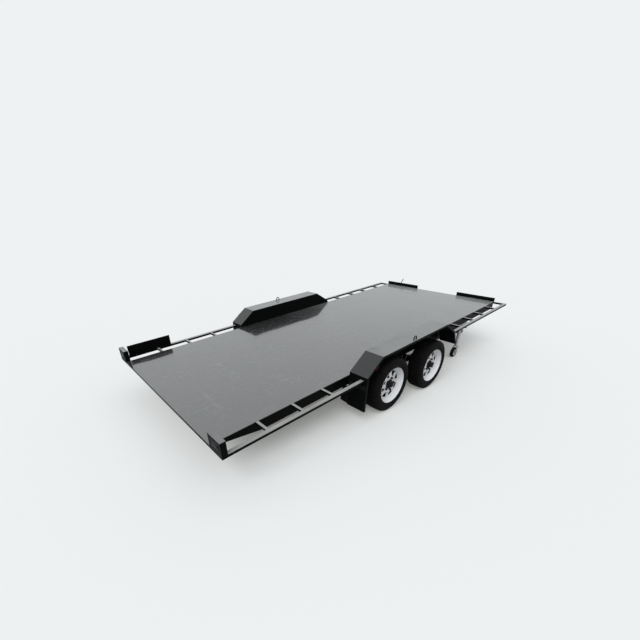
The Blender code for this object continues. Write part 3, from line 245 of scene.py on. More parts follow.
class SharedEffects:
    """The node groups that more than one finish uses."""

    def __init__(self) -> None:
        """Builds each group once."""
        self.worn_edges = self._worn_edges()
        self.dust_and_sheen = self._dust_and_sheen()
        self.sprayed_skin = self._sprayed_skin()
        self.facing_up = self._facing_up()

    def _worn_edges(self) -> bpy.types.NodeTree:
        """A softened normal round sharp edges, and a mask of the places rubbed bare there.

        Returns:
            The node group.
        """
        outputs = {"Normal": "NodeSocketVector", "Mask": "NodeSocketFloat"}
        graph, given = shared_group("Worn edges", {"Radius": 0.002, "Amount": 0.5}, outputs)
        soft = graph.add("ShaderNodeBevel", {"Radius": given["Radius"]}, samples=4).outputs[0]
        geometry = graph.add("ShaderNodeNewGeometry")
        inputs = {0: soft, 1: geometry.outputs["Normal"]}
        facing = graph.add("ShaderNodeVectorMath", inputs, operation="DOT_PRODUCT").outputs["Value"]
        edge = graph.span(facing, 0.995, 0.90)
        place = graph.add("ShaderNodeTexCoord").outputs["Object"]
        patches = graph.span(graph.noise(place, 22.0), 0.45, 0.62)
        mask = graph.product(edge, patches, given["Amount"])
        graph.add("NodeGroupOutput", {"Normal": soft, "Mask": mask})
        return graph.tree

    def _dust_and_sheen(self) -> bpy.types.NodeTree:
        """A mask of surfaces facing up, where the colour turns paler: partly settled dust, partly a painted
        sheen.

        Returns:
            The node group.
        """
        graph, given = shared_group("Dust and sheen", {"Amount": 0.5}, {"Mask": "NodeSocketFloat"})
        place = graph.add("ShaderNodeTexCoord").outputs["Object"]
        cloudy = graph.span(graph.noise(place, 3.5, 6.0), 0.25, 0.75, 0.55, 1.0)
        # painted sheen: this up-facing mask lightens tops the way sky reflection would, as well as laying
        # dust
        level = graph.span(graph.upward(), 0.90, 0.985)
        graph.add("NodeGroupOutput", {"Mask": graph.product(level, cloudy, given["Amount"])})
        return graph.tree

    def _facing_up(self) -> bpy.types.NodeTree:
        """A mask of the surfaces that lie flat enough to hold a film of rain.

        Returns:
            The node group.
        """
        graph, given = shared_group("Facing up", {"Amount": 1.0}, {"Mask": "NodeSocketFloat"})
        level = graph.span(graph.upward(), 0.55, 0.80)
        graph.add("NodeGroupOutput", {"Mask": graph.product(level, given["Amount"])})
        return graph.tree

    def _sprayed_skin(self) -> bpy.types.NodeTree:
        """The fine waviness of sprayed or rolled metal, as a height and a slow tone.

        Returns:
            The node group.
        """
        outputs = {"Height": "NodeSocketFloat", "Tone": "NodeSocketFloat"}
        graph, given = shared_group("Sprayed skin", {"Fineness": 1.0}, outputs)
        place = graph.add("ShaderNodeTexCoord").outputs["Object"]
        inputs = {0: place, "Scale": given["Fineness"]}
        scaled = graph.add("ShaderNodeVectorMath", inputs, operation="SCALE").outputs[0]
        peel = graph.noise(scaled, 240.0, 2.0)
        waves = graph.noise(scaled, 9.0, 3.0)
        height = graph.maths("ADD", graph.product(peel, 0.25), waves)
        graph.add("NodeGroupOutput", {"Height": height, "Tone": graph.noise(scaled, 2.2, 5.0)})
        return graph.tree


class Material:
    """One finish's material: its graph, its surface shader and the place of each point on the piece."""

    def __init__(self, name: str) -> None:
        """Starts an empty node material.

        Args:
            name: the material's name.
        """
        self.data = bpy.data.materials.new(name)
        self.data.use_nodes = True
        tree = self.data.node_tree
        tree.nodes.clear()
        self.graph = Graph(tree)
        self.shader = self.graph.add("ShaderNodeBsdfPrincipled")
        self.graph.add("ShaderNodeOutputMaterial", {"Surface": self.shader.outputs[0]})
        self.place = self.graph.add("ShaderNodeTexCoord").outputs["Object"]

    def use(self, group: bpy.types.NodeTree, values: dict[str, float]) -> bpy.types.Node:
        """Places a shared effect with this material's own values."""
        return self.graph.add("ShaderNodeGroup", values, node_tree=group)

    def set(self, values: dict[str, Socket | float | Colour]) -> None:
        """Sets or links the surface shader's sockets.

        Args:
            values: a value, a colour or an output socket for each named socket.
        """
        for name, value in values.items():
            socket = self.shader.inputs[name]
            if isinstance(value, Socket):
                self.graph.tree.links.new(value, socket)
            elif isinstance(value, tuple):
                socket.default_value = (*value, 1.0)
            else:
                socket.default_value = value

    def bump(self, height: Socket, strength: float, distance: float, normal: Socket | None = None) -> Socket:
        """A normal bent by a height.

        Args:
            height: the height over the surface.
            strength: how much of it counts, from 0 to 1.
            distance: how high it reaches, in metres.
            normal: the normal that it bends, if not the surface's own.

        Returns:
            The bent normal.
        """
        inputs = {"Height": height, "Strength": strength, "Distance": distance}
        if normal is not None:
            inputs["Normal"] = normal
        return self.graph.add("ShaderNodeBump", inputs).outputs[0]


@dataclass(frozen=True)
class PaintFinish:
    """Sprayed enamel on steel, rubbed at its edges, and paler on top from dust and a painted sheen."""

    name: str
    colour: Colour
    roughness: float = 0.40
    # dust and dust_colour lighten up-facing faces: partly dust, partly a painted sheen
    dust: float = 0.50
    dust_colour: Colour = (0.40, 0.41, 0.41)
    wear: float = 0.40
    wear_colour: Colour = (0.20, 0.20, 0.19)
    edge_radius: float = 0.002
    specular: float = 0.03
    film: float = 0.9
    film_ior: float = 1.8
    film_roughness: float = 0.14

    def make(self, effects: SharedEffects) -> bpy.types.Material:
        """Builds the material.

        Args:
            effects: the node groups that finishes share.

        Returns:
            The material.
        """
        made = Material(self.name)
        graph = made.graph
        skin = made.use(effects.sprayed_skin, {"Fineness": 1.0})
        edges = made.use(effects.worn_edges, {"Radius": self.edge_radius, "Amount": self.wear})
        dust = made.use(effects.dust_and_sheen, {"Amount": self.dust})
        rain = made.use(effects.facing_up, {"Amount": self.film})
        paint = graph.blend(skin.outputs["Tone"], self.colour, dimmed(self.colour, 0.75))
        worn = graph.blend(edges.outputs["Mask"], paint, self.wear_colour)
        # painted sheen: the pale colour laid on tops stands partly for dust and partly for light
        dusty = graph.blend(dust.outputs["Mask"], worn, self.dust_colour)
        tone = graph.span(skin.outputs["Tone"], 0.3, 0.7, -0.05, 0.07)
        rough = graph.maths("ADD", tone, self.roughness)
        rougher = graph.product(dust.outputs["Mask"], 0.3)
        made.set({
            "Base Color": dusty,
            "Roughness": graph.maths("ADD", rough, rougher),
            "Specular IOR Level": self.specular,
            "Coat Weight": rain.outputs["Mask"],
            "Coat IOR": self.film_ior,
            "Coat Roughness": self.film_roughness,
            "Normal": made.bump(skin.outputs["Height"], 0.10, 0.002, edges.outputs["Normal"]),
        })
        return made.data


@dataclass(frozen=True)
class WetPlateFinish:
    """The deck's dark painted sheet under rain water, with scratches and specks; toward the front its colour
    turns paler as a painted sheen, and the rain film thins.
    """

    name: str
    colour: Colour = (0.030, 0.032, 0.032)
    scuff_colour: Colour = (0.28, 0.29, 0.29)
    # painted sheen: the paler colour the sheet takes toward the front
    painted_front_sheen: Colour = (0.30, 0.32, 0.31)
    under_colour: Colour = (0.008, 0.009, 0.009)
    sheen_start: float = -0.9
    sheen_end: float = 2.4
    front_film_thinning: float = 0.75
    specular: float = 0.2
    film_ior: float = 2.5
    film_roughness: float = 0.085

    def make(self, effects: SharedEffects) -> bpy.types.Material:
        """Builds the material.

        Args:
            effects: the node groups that finishes share.

        Returns:
            The material.
        """
        made = Material(self.name)
        graph = made.graph
        top = made.use(effects.facing_up, {"Amount": 1.0}).outputs["Mask"]
        slow = graph.noise(made.place, 0.8, 4.0)
        patches = graph.span(graph.noise(made.place, 3.0, 5.0), 0.42, 0.62)
        slanting = graph.stretched(made.place, (7.0, 150.0, 7.0), 52.0)
        scratches = graph.span(graph.noise(slanting, 1.0, 3.0), 0.62, 0.70)
        lengthwise = graph.stretched(made.place, (120.0, 6.0, 6.0), 8.0)
        crossing = graph.span(graph.noise(lengthwise, 1.0, 3.0), 0.64, 0.71)
        specks = graph.span(graph.noise(made.place, 80.0, 2.0), 0.66, 0.72)
        marks = graph.maths("MAXIMUM", graph.maths("MAXIMUM", scratches, crossing), specks)
        marks = graph.product(marks, graph.span(patches, 0.0, 1.0, 0.25, 1.0))
        # painted sheen: the colour grows paler toward the front in uneven drifts, and the rain film thins
        # there
        drift = graph.span(graph.noise(made.place, 1.4, 4.0), 0.3, 0.7, -0.5, 0.5)
        uneven = graph.maths("ADD", graph.axis(made.place, "X"), drift)
        dry = graph.span(uneven, self.sheen_start, self.sheen_end)
        base = graph.blend(slow, self.colour, dimmed(self.colour, 0.80))
        base = graph.blend(dry, base, self.painted_front_sheen)
        marked = graph.blend(marks, base, self.scuff_colour)
        ripple = graph.noise(graph.stretched(made.place, (16.0, 26.0, 16.0), 20.0), 1.0, 3.0)
        sheet = graph.noise(made.place, 1.6, 2.0)
        height = graph.maths("ADD", sheet, graph.product(ripple, 0.07))
        wet = graph.maths("SUBTRACT", 1.0, graph.product(dry, self.front_film_thinning))
        film = graph.product(wet, top, graph.span(marks, 0.0, 1.0, 1.0, 0.5))
        edges = made.use(effects.worn_edges, {"Radius": 0.002, "Amount": 0.2})
        made.set({
            "Base Color": graph.blend(top, self.under_colour, marked),
            "Roughness": graph.span(slow, 0.3, 0.7, 0.36, 0.44),
            "Specular IOR Level": self.specular,
            "Coat Weight": film,
            "Coat IOR": self.film_ior,
            "Coat Roughness": self.film_roughness,
            "Normal": made.bump(height, 0.22, 0.008, edges.outputs["Normal"]),
        })
        return made.data


@dataclass(frozen=True)
class WheelPaintFinish:
    """White enamel on the steel rims, with specks of brake dust; behind the disc the colour is painted
    near-black, a painted shade inside the wheel.
    """

    name: str
    colour: Colour = (0.86, 0.87, 0.88)
    grime_colour: Colour = (0.30, 0.29, 0.27)
    painted_shade_colour: Colour = (0.012, 0.011, 0.010)
    disc_back: float = 1.1085
    fade: float = 0.0015
    gloss: float = 0.3

    def make(self, effects: SharedEffects) -> bpy.types.Material:
        """Builds the material.

        Args:
            effects: the node groups that finishes share.

        Returns:
            The material.
        """
        made = Material(self.name)
        graph = made.graph
        skin = made.use(effects.sprayed_skin, {"Fineness": 1.4})
        grime = graph.span(graph.noise(made.place, 16.0, 7.0, 0.62), 0.56, 0.78)
        base = graph.blend(skin.outputs["Tone"], self.colour, dimmed(self.colour, 0.93))
        # painted shade: everything behind the disc is near-black, so the windows and the barrel's inside read
        # dark
        across = graph.maths("ABSOLUTE", graph.axis(made.place, "Y"))
        behind = graph.span(across, self.disc_back + self.fade, self.disc_back - self.fade)
        base = graph.blend(behind, base, self.painted_shade_colour)
        made.set({
            "Base Color": graph.blend(graph.product(grime, 0.35), base, self.grime_colour),
            "Roughness": graph.span(grime, 0.0, 1.0, 0.26, 0.5),
            "Coat Weight": self.gloss,
            "Normal": made.bump(skin.outputs["Height"], 0.12, 0.001),
        })
        return made.data


@dataclass(frozen=True)
class ZincFinish:
    """Hot-dip galvanising: dull spangles in crystal patches."""

    name: str
    bright: Colour = (0.56, 0.57, 0.58)
    dull: Colour = (0.36, 0.37, 0.38)
    stain_colour: Colour = (0.20, 0.19, 0.18)
    metal: float = 0.85

    def make(self, effects: SharedEffects) -> bpy.types.Material:
        """Builds the material.

        Args:
            effects: the node groups that finishes share.

        Returns:
            The material.
        """
        made = Material(self.name)
        graph = made.graph
        crystals = graph.add("ShaderNodeTexVoronoi", {"Vector": made.place, "Scale": 160.0})
        patch = graph.axis(crystals.outputs["Color"], "X")
        stain = graph.span(graph.noise(made.place, 20.0, 6.0), 0.5, 0.72)
        spangle = graph.blend(patch, self.dull, self.bright)
        edges = made.use(effects.worn_edges, {"Radius": 0.001, "Amount": 0.0})
        made.set({
            "Base Color": graph.blend(graph.product(stain, 0.4), spangle, self.stain_colour),
            "Metallic": self.metal,
            "Roughness": graph.span(patch, 0.0, 1.0, 0.34, 0.52),
            "Normal": made.bump(stain, 0.08, 0.0006, edges.outputs["Normal"]),
        })
        return made.data


@dataclass(frozen=True)
class RubberFinish:
    """Black rubber with a dry, slightly dusty skin."""

    name: str
    colour: Colour = (0.007, 0.007, 0.0075)
    dust_colour: Colour = (0.09, 0.088, 0.085)
    dust: float = 0.07
    specular: float = 0.03

    def make(self, effects: SharedEffects) -> bpy.types.Material:
        """Builds the material.

        Args:
            effects: the node groups that finishes share; not used here.

        Returns:
            The material.
        """
        made = Material(self.name)
        graph = made.graph
        cloud = graph.span(graph.noise(made.place, 7.0, 7.0, 0.62), 0.46, 0.74)
        grain = graph.noise(made.place, 420.0, 2.0)
        made.set({
            "Base Color": graph.blend(graph.product(cloud, self.dust), self.colour, self.dust_colour),
            "Roughness": graph.span(cloud, 0.0, 1.0, 0.56, 0.78),
            "Specular IOR Level": self.specular,
            "Normal": made.bump(grain, 0.15, 0.0006),
        })
        return made.data


@dataclass(frozen=True)
class ChromeFinish:
    """The ram rod's hard chrome, with fine grinding rings and an oil film."""

    name: str
    bright: Colour = (0.62, 0.63, 0.64)
    oiled: Colour = (0.50, 0.50, 0.49)

    def make(self, effects: SharedEffects) -> bpy.types.Material:
        """Builds the material.

        Args:
            effects: the node groups that finishes share; not used here.

        Returns:
            The material.
        """
        made = Material(self.name)
        graph = made.graph
        film = graph.noise(made.place, 14.0, 5.0)
        rings = graph.noise(graph.stretched(made.place, (900.0, 20.0, 900.0)), 1.0, 2.0)
        made.set({
            "Base Color": graph.blend(film, self.bright, self.oiled),
            "Metallic": 1.0,
            "Roughness": graph.span(film, 0.3, 0.7, 0.10, 0.24),
            "Normal": made.bump(rings, 0.05, 0.0003),
        })
        return made.data


@dataclass(frozen=True)
class LensFinish:
    """Moulded lamp plastic, smoked on the tail lamps and dark red on the side markers."""

    name: str
    colour: Colour
    depth: Colour
    specular: float = 0.03

    def make(self, effects: SharedEffects) -> bpy.types.Material:
        """Builds the material.

        Args:
            effects: the node groups that finishes share.

        Returns:
            The material.
        """
        made = Material(self.name)
        graph = made.graph
        cells = graph.add("ShaderNodeTexVoronoi", {"Vector": made.place, "Scale": 260.0}, feature="F1")
        fleck = graph.span(cells.outputs["Distance"], 0.0, 0.6)
        dust = made.use(effects.dust_and_sheen, {"Amount": 0.2})
        made.set({
            "Base Color": graph.blend(fleck, self.colour, self.depth),
            "Roughness": graph.span(dust.outputs["Mask"], 0.0, 1.0, 0.10, 0.4),
            "Specular IOR Level": self.specular,
            "Normal": made.bump(cells.outputs["Distance"], 0.25, 0.0006),
        })
        return made.data


class Finishes:
    """Every finish as a built material, by slot."""

    def __init__(self) -> None:
        """Builds the shared effects and then each material."""
        effects = SharedEffects()
        black = (0.004, 0.0043, 0.0043)
        recipes = {
            Slot.BLACK_PAINT: PaintFinish("black enamel", black),
            Slot.AXLE_PAINT: PaintFinish("axle enamel", (0.014, 0.014, 0.014), 0.45, dust=0.2, film=0.0),
            Slot.HUB_PAINT: PaintFinish("hub enamel", (0.016, 0.016, 0.017), dust=0.1, film=0.0),
            Slot.DECK_STEEL: WetPlateFinish("wet deck sheet"),
            Slot.TYRE: RubberFinish("tyre rubber"),
            Slot.RIM_PAINT: WheelPaintFinish("white wheel enamel"),
            Slot.ZINC: ZincFinish("galvanised zinc"),
            Slot.JOCKEY_RUBBER: RubberFinish("jockey wheel rubber", dust=0.3),
            Slot.RAM_CHROME: ChromeFinish("hard chrome"),
            Slot.RED_LENS: LensFinish("dark red lamp plastic", (0.090, 0.005, 0.006), (0.035, 0.002, 0.003)),
            Slot.SMOKED_LENS: LensFinish("smoked lamp plastic", (0.010, 0.003, 0.003), (0.004, 0.002, 0.002)),
        }
        self._made = {slot: recipe.make(effects) for slot, recipe in recipes.items()}
        # the rails' pale tops are partly dust and partly a painted sheen
        rail = PaintFinish("rail enamel with dust and painted sheen", black, dust=0.75, dust_colour=(0.50, 0.50, 0.48), film=0.6)
        self.rail = rail.make(effects)

    def of(self, slot: Slot) -> bpy.types.Material:
        """The material of a slot."""
        return self._made[slot]


def deselect_all() -> None:
    """Leaves edit mode and selects nothing, so that an operator meets only its own piece."""
    if bpy.context.object and bpy.context.object.mode != "OBJECT":
        bpy.ops.object.mode_set(mode="OBJECT")
    for thing in bpy.context.view_layer.objects:
        thing.select_set(False)


def take(piece: Piece) -> Piece:
    """Makes one piece the only selected and the active one.

    Args:
        piece: the piece.

    Returns:
        The same piece.
    """
    deselect_all()
    bpy.context.view_layer.objects.active = piece
    piece.select_set(True)
    return piece


def edit(piece: Piece, kind: str = "VERT") -> None:
    """Enters edit mode on one piece with everything in it selected.

    Args:
        piece: the piece.
        kind: what is picked in it: VERT, EDGE or FACE.
    """
    take(piece)
    bpy.ops.object.mode_set(mode="EDIT")
    bpy.ops.mesh.select_mode(type=kind)
    bpy.ops.mesh.select_all(action="SELECT")


def select_faces(piece: Piece, wanted: Callable[[bmesh.types.BMFace], bool]) -> None:
    """Selects the faces of a piece in edit mode that pass a test.

    Args:
        piece: the piece, in edit mode.
        wanted: says whether a face is taken.
    """
    bpy.ops.mesh.select_mode(type="FACE")
    bpy.ops.mesh.select_all(action="DESELECT")
    shape = bmesh.from_edit_mesh(piece.data)
    for face in shape.faces:
        face.select_set(wanted(face))
    shape.select_flush_mode()
    bmesh.update_edit_mesh(piece.data)


def weld() -> None:
    """Merges the doubles of the piece in edit mode and leaves all of it selected."""
    bpy.ops.mesh.select_all(action="SELECT")
    bpy.ops.mesh.remove_doubles(threshold=WELD_DISTANCE)
    bpy.ops.mesh.select_all(action="SELECT")


def face_outwards() -> None:
    """Turns all faces of the piece in edit mode outwards and leaves edit mode."""
    bpy.ops.mesh.select_all(action="SELECT")
    bpy.ops.mesh.normals_make_consistent(inside=False)
    bpy.ops.object.mode_set(mode="OBJECT")


def drawn_line(name: str, points: Sequence[Vector], closed: bool = False) -> Piece:
    """A chain of edges, drawn by extruding one vertex from point to point.

    Args:
        name: the piece's name.
        points: the chain's corners.
        closed: whether its last corner joins its first.

    Returns:
        The piece, in edit mode with all of it selected.
    """
    if closed:
        points = [*points, points[0]]
    deselect_all()
    bpy.ops.mesh.primitive_plane_add(size=1.0)
    line = bpy.context.active_object
    line.name = name
    edit(line)
    bpy.ops.mesh.merge(type="CENTER")
    bpy.ops.transform.translate(value=points[0])
    for before, after in zip(points, points[1:]):
        bpy.ops.mesh.extrude_region_move(TRANSFORM_OT_translate={"value": after - before})
    weld()
    return line


def spun(name: str, profile: Outline, steps: int, closed: bool = False) -> Piece:
    """A turned piece about the Y axis.

    Args:
        name: the piece's name.
        profile: its section, as radius and place along Y.
        steps: how many steps go round.
        closed: whether the section's last point joins its first.

    Returns:
        The piece, in object mode, with its faces pointing out.
    """
    points = [Vector((radius, along, 0.0)) for radius, along in profile]
    piece = drawn_line(name, points, closed)
    bpy.ops.mesh.spin(steps=steps, angle=FULL_TURN, center=(0, 0, 0), axis=(0, 1, 0))
    weld()
    face_outwards()
    return piece


def arc(centre: tuple[float, float], radius: float, start: float, end: float, count: int) -> Section:
    """Points round part of a circle, with angles in degrees."""
    angles = [(start + (end - start) * step / (count - 1)) * DEGREE for step in range(count)]
    return [(centre[0] + radius * math.cos(angle), centre[1] + radius * math.sin(angle)) for angle in angles]


def peg(radius: float, low: float, high: float, bevel: float) -> Section:
    """The section of a round bar along Y, with a bevel round its far end."""
    return [(0.0, low), (radius, low), (radius, high - bevel), (radius - bevel, high), (0.0, high)]


def both_sides(side: Outline) -> Section:
    """A closed section, alike on both sides of Y = 0, from the points of its +Y side."""
    return [(radius, -along) for radius, along in side] + list(reversed(side))


def modify(piece: Piece, kind: str, **settings: object) -> None:
    """Puts a modifier on a piece and applies it.

    Args:
        piece: the piece.
        kind: the modifier's type name.
        settings: the modifier's own properties.
    """
    take(piece)
    modifier = piece.modifiers.new(kind.lower(), kind)
    for name, value in settings.items():
        setattr(modifier, name, value)
    bpy.ops.object.modifier_apply(modifier=modifier.name)


def soften(piece: Piece, width: float, angle: float, segments: int = 3) -> None:
    """Rounds the edges of a piece that bend by more than an angle in degrees."""
    limit = angle * DEGREE
    modify(piece, "BEVEL", width=width, segments=segments, limit_method="ANGLE", angle_limit=limit)


def cut(piece: Piece, cutters: Iterable[Piece]) -> None:
    """Cuts shapes out of a piece and removes them.

    Args:
        piece: the piece.
        cutters: the shapes, which are used up.
    """
    for cutter in cutters:
        modify(piece, "BOOLEAN", object=cutter, operation="DIFFERENCE")
        bpy.data.objects.remove(cutter, do_unlink=True)


def placed_copy(piece: Piece, name: str, place: Matrix) -> Piece:
    """A copy of a piece with its own mesh, whose place is in the mesh.

    Args:
        piece: the piece modelled about the origin.
        name: the copy's name.
        place: where the copy goes.

    Returns:
        The copy.
    """
    copy = piece.copy()
    copy.data = piece.data.copy()
    copy.name = name
    bpy.context.collection.objects.link(copy)
    copy.data.transform(place)
    if place.determinant() < 0:
        copy.data.flip_normals()
    return copy


def joined(name: str, pieces: Sequence[Piece]) -> Piece:
    """Several pieces made one.

    Args:
        name: the name of the whole.
        pieces: the pieces, which are used up.

    Returns:
        The one piece.
    """
    deselect_all()
    for piece in pieces:
        piece.select_set(True)
    bpy.context.view_layer.objects.active = pieces[0]
    bpy.ops.object.join()
    pieces[0].name = name
    return pieces[0]


def placed_set(name: str, model: Piece, places: Iterable[Matrix]) -> Piece:
    """Copies of a small model at several places, as one piece. The model itself is removed.

    Args:
        name: the piece's name.
        model: the thing that repeats, modelled about the origin.
        places: where each copy goes.

    Returns:
        The piece.
    """
    copies = [placed_copy(model, f"{name} copy", place) for place in places]
    bpy.data.objects.remove(model, do_unlink=True)
    return joined(name, copies)


def facing(point: Sequence[float], direction: Sequence[float]) -> Matrix:
    """A place whose Y axis points in a direction."""
    turn = ALONG_Y.rotation_difference(Vector(direction)).to_matrix().to_4x4()
    return Matrix.Translation(point) @ turn


def block(name: str, low: Sequence[float], high: Sequence[float], rounding: float = 0.0) -> Piece:
    """A block between two corners, with its edges rounded.

    Args:
        name: the piece's name.
        low: its lowest corner.
        high: its highest corner.
        rounding: how far the rounding reaches from each edge.

    Returns:
        The piece.
    """
    deselect_all()
    low, high = Vector(low), Vector(high)
    bpy.ops.mesh.primitive_cube_add(size=1.0, location=(low + high) / 2)
    piece = bpy.context.active_object
    piece.name = name
    piece.scale = high - low
    bpy.ops.object.transform_apply(location=True, rotation=True, scale=True)
    if rounding:
        soften(piece, rounding, 40)
    return piece


def extruded(name: str, outline: Outline, low: float, high: float, rounding: float = 0.0,
             segments: int = 3) -> Piece:
    """A plate with an outline in X and Z, between two places along Y, with its edges rounded.

    Args:
        name: the piece's name.
        outline: its corners, as X and Z.
        low: where it starts along Y.
        high: where it ends along Y.
        rounding: how far the rounding reaches from each edge.
        segments: how many steps the rounding has.

    Returns:
        The piece.
    """
    piece = drawn_line(name, [Vector((x, low, z)) for x, z in outline], closed=True)
    bpy.ops.mesh.edge_face_add()
    bpy.ops.mesh.extrude_region_move(TRANSFORM_OT_translate={"value": (0, high - low, 0)})
    face_outwards()
    if rounding:
        soften(piece, rounding, 30, segments)
    return piece


def rounded_path(corners: Sequence[Vector], reach: float, steps: int = 5) -> list[Vector]:
    """A path with its inner corners rounded.

    Args:
        corners: the path's corners.
        reach: how far from each corner the rounding starts.
        steps: how many steps each rounding has.

    Returns:
        The path's points.
    """
    path = [corners[0]]
    for before, corner, after in zip(corners, corners[1:], corners[2:]):
        start = corner + (before - corner).normalized() * reach
        end = corner + (after - corner).normalized() * reach
        for step in range(steps + 1):
            share = step / steps
            path.append(start.lerp(corner, share).lerp(corner.lerp(end, share), share))
    return [*path, corners[-1]]


def bent_rod(name: str, points: Sequence[Vector], radius: float, ring: bool = False) -> Piece:
    """A round bar bent along a path.

    Args:
        name: the piece's name.
        points: the path of its middle.
        radius: the bar's radius.
        ring: whether its end joins its start.

    Returns:
        The piece.
    """
    drawn = drawn_line(name, points, closed=ring)
    bpy.ops.object.mode_set(mode="OBJECT")
    take(drawn)
    bpy.ops.object.convert(target="CURVE")
    bar = bpy.context.active_object
    bar.data.bevel_depth = radius
    bar.data.bevel_resolution = 4
    bar.data.use_fill_caps = not ring
    bpy.ops.object.convert(target="MESH")
    bar = bpy.context.active_object
    bar.name = name
    return bar


def fastener(name: str, across: float, height: float, stud: float) -> Piece:
    """A hexagon nut on its washer with the bolt's end in it, standing along Y from 0.

    Args:
        name: the piece's name.
        across: the nut's width over its flats.
        height: the nut's height.
        stud: the bolt's radius.

    Returns:
        The piece.
    """
    washer = 0.0025
    bevel = 0.0012
    corner = across / 2 / math.cos(math.pi / 6)
    deselect_all()
    bpy.ops.mesh.primitive_cylinder_add(vertices=6, radius=corner, depth=height,
                                        rotation=(math.pi / 2, 0, 0), location=(0, washer + height / 2, 0))
    nut = bpy.context.active_object
    bpy.ops.object.transform_apply(location=True, rotation=True, scale=True)
    soften(nut, bevel, 50, segments=2)
    tip = spun("bolt end", peg(stud, 0.0, washer + height + 0.35 * stud, bevel), 16)
    ring = spun("washer", peg(1.12 * corner, 0.0, washer, 0.0005), 24)
    return joined(name, [nut, tip, ring])


class Dresser:
    """Finishes pieces and hands them to the frame."""

    def __init__(self, finishes: Finishes) -> None:
        """Keeps the built finishes.

        Args:
            finishes: every material by slot.
        """
        self.finishes = finishes

    def fit(self, piece: Piece, body: str, slot: Slot, nodes: Sequence[str] = (),
            angle: float = 35) -> None:
        """Gives a piece its finish, its body and the CAD nodes that it stands for.

        Args:
            piece: the finished piece, in its place.
            body: the CAD body that it rides on.
            slot: its finish.
            nodes: the CAD nodes that it replaces.
            angle: the sharpest angle in degrees that still shades smooth.
        """
        take(piece)
        bpy.ops.object.shade_smooth_by_angle(angle=angle * DEGREE)
        piece.data.materials.clear()
        piece.data.materials.append(self.finishes.of(slot))
        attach(piece, body)
        if nodes:
            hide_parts(*nodes)
        log.info("%s rides on %s in %s, %d faces", piece.name, body, slot.value, len(piece.data.polygons))


def dress_frame_nodes(nodes: dict[str, Piece], finishes: Finishes) -> None:
    """Gives every CAD node its finish.

    Args:
        nodes: the frame's nodes by name.
        finishes: every material by slot.
    """
    for name, node in nodes.items():
        fitting = [word for word in NODE_SLOTS if name.startswith(word)]
        slot = NODE_SLOTS[max(fitting, key=len)] if fitting else Slot.BLACK_PAINT
        node.data.materials.clear()
        node.data.materials.append(finishes.rail if name.startswith("side_rail") else finishes.of(slot))


@dataclass
class DeckSheet:
    """The deck: its flat sheet with a rounded bend all round, and the black folded edges below it."""

    length: float = 4.880
    half: float = 0.960
    sheet: float = 0.004
    fold: float = 0.025
    rounding: float = 0.0018
    fold_rounding: float = 0.0008
    gap: float = 0.0002
    wave_cuts: int = 70
    wave_height: float = 0.0009

    def build(self, dresser: Dresser) -> None:
        """Models the sheet, with the faint waves that rolled sheet has, and its folds.

        Args:
            dresser: finishes each piece and hands it to the frame.
        """
        top = block("deck_sheet", (0, -self.half, -self.sheet), (self.length, self.half, 0), self.rounding)
        edit(top, "FACE")
        select_faces(top, lambda face: face.normal.z > 0.99)
        bpy.ops.mesh.subdivide(number_cuts=self.wave_cuts)
        bpy.ops.transform.vertex_random(offset=self.wave_height, normal=1.0, seed=5)
        bpy.ops.mesh.vertices_smooth(factor=0.5, repeat=2)
        bpy.ops.object.mode_set(mode="OBJECT")
        top.data.transform(ON_DECK)
        dresser.fit(top, "bed", Slot.DECK_STEEL, ["deck_plate"])
        fold = block("deck_folds", (0, -self.half, -self.fold),
                     (self.length, self.half, -self.sheet - self.gap), self.fold_rounding)
        wide = self.half - self.sheet
        inside = block("fold inside", (self.sheet, -wide, -2 * self.fold),
                       (self.length - self.sheet, wide, self.fold))
        cut(fold, [inside])
        fold.data.transform(ON_DECK)
        dresser.fit(fold, "bed", Slot.BLACK_PAINT)


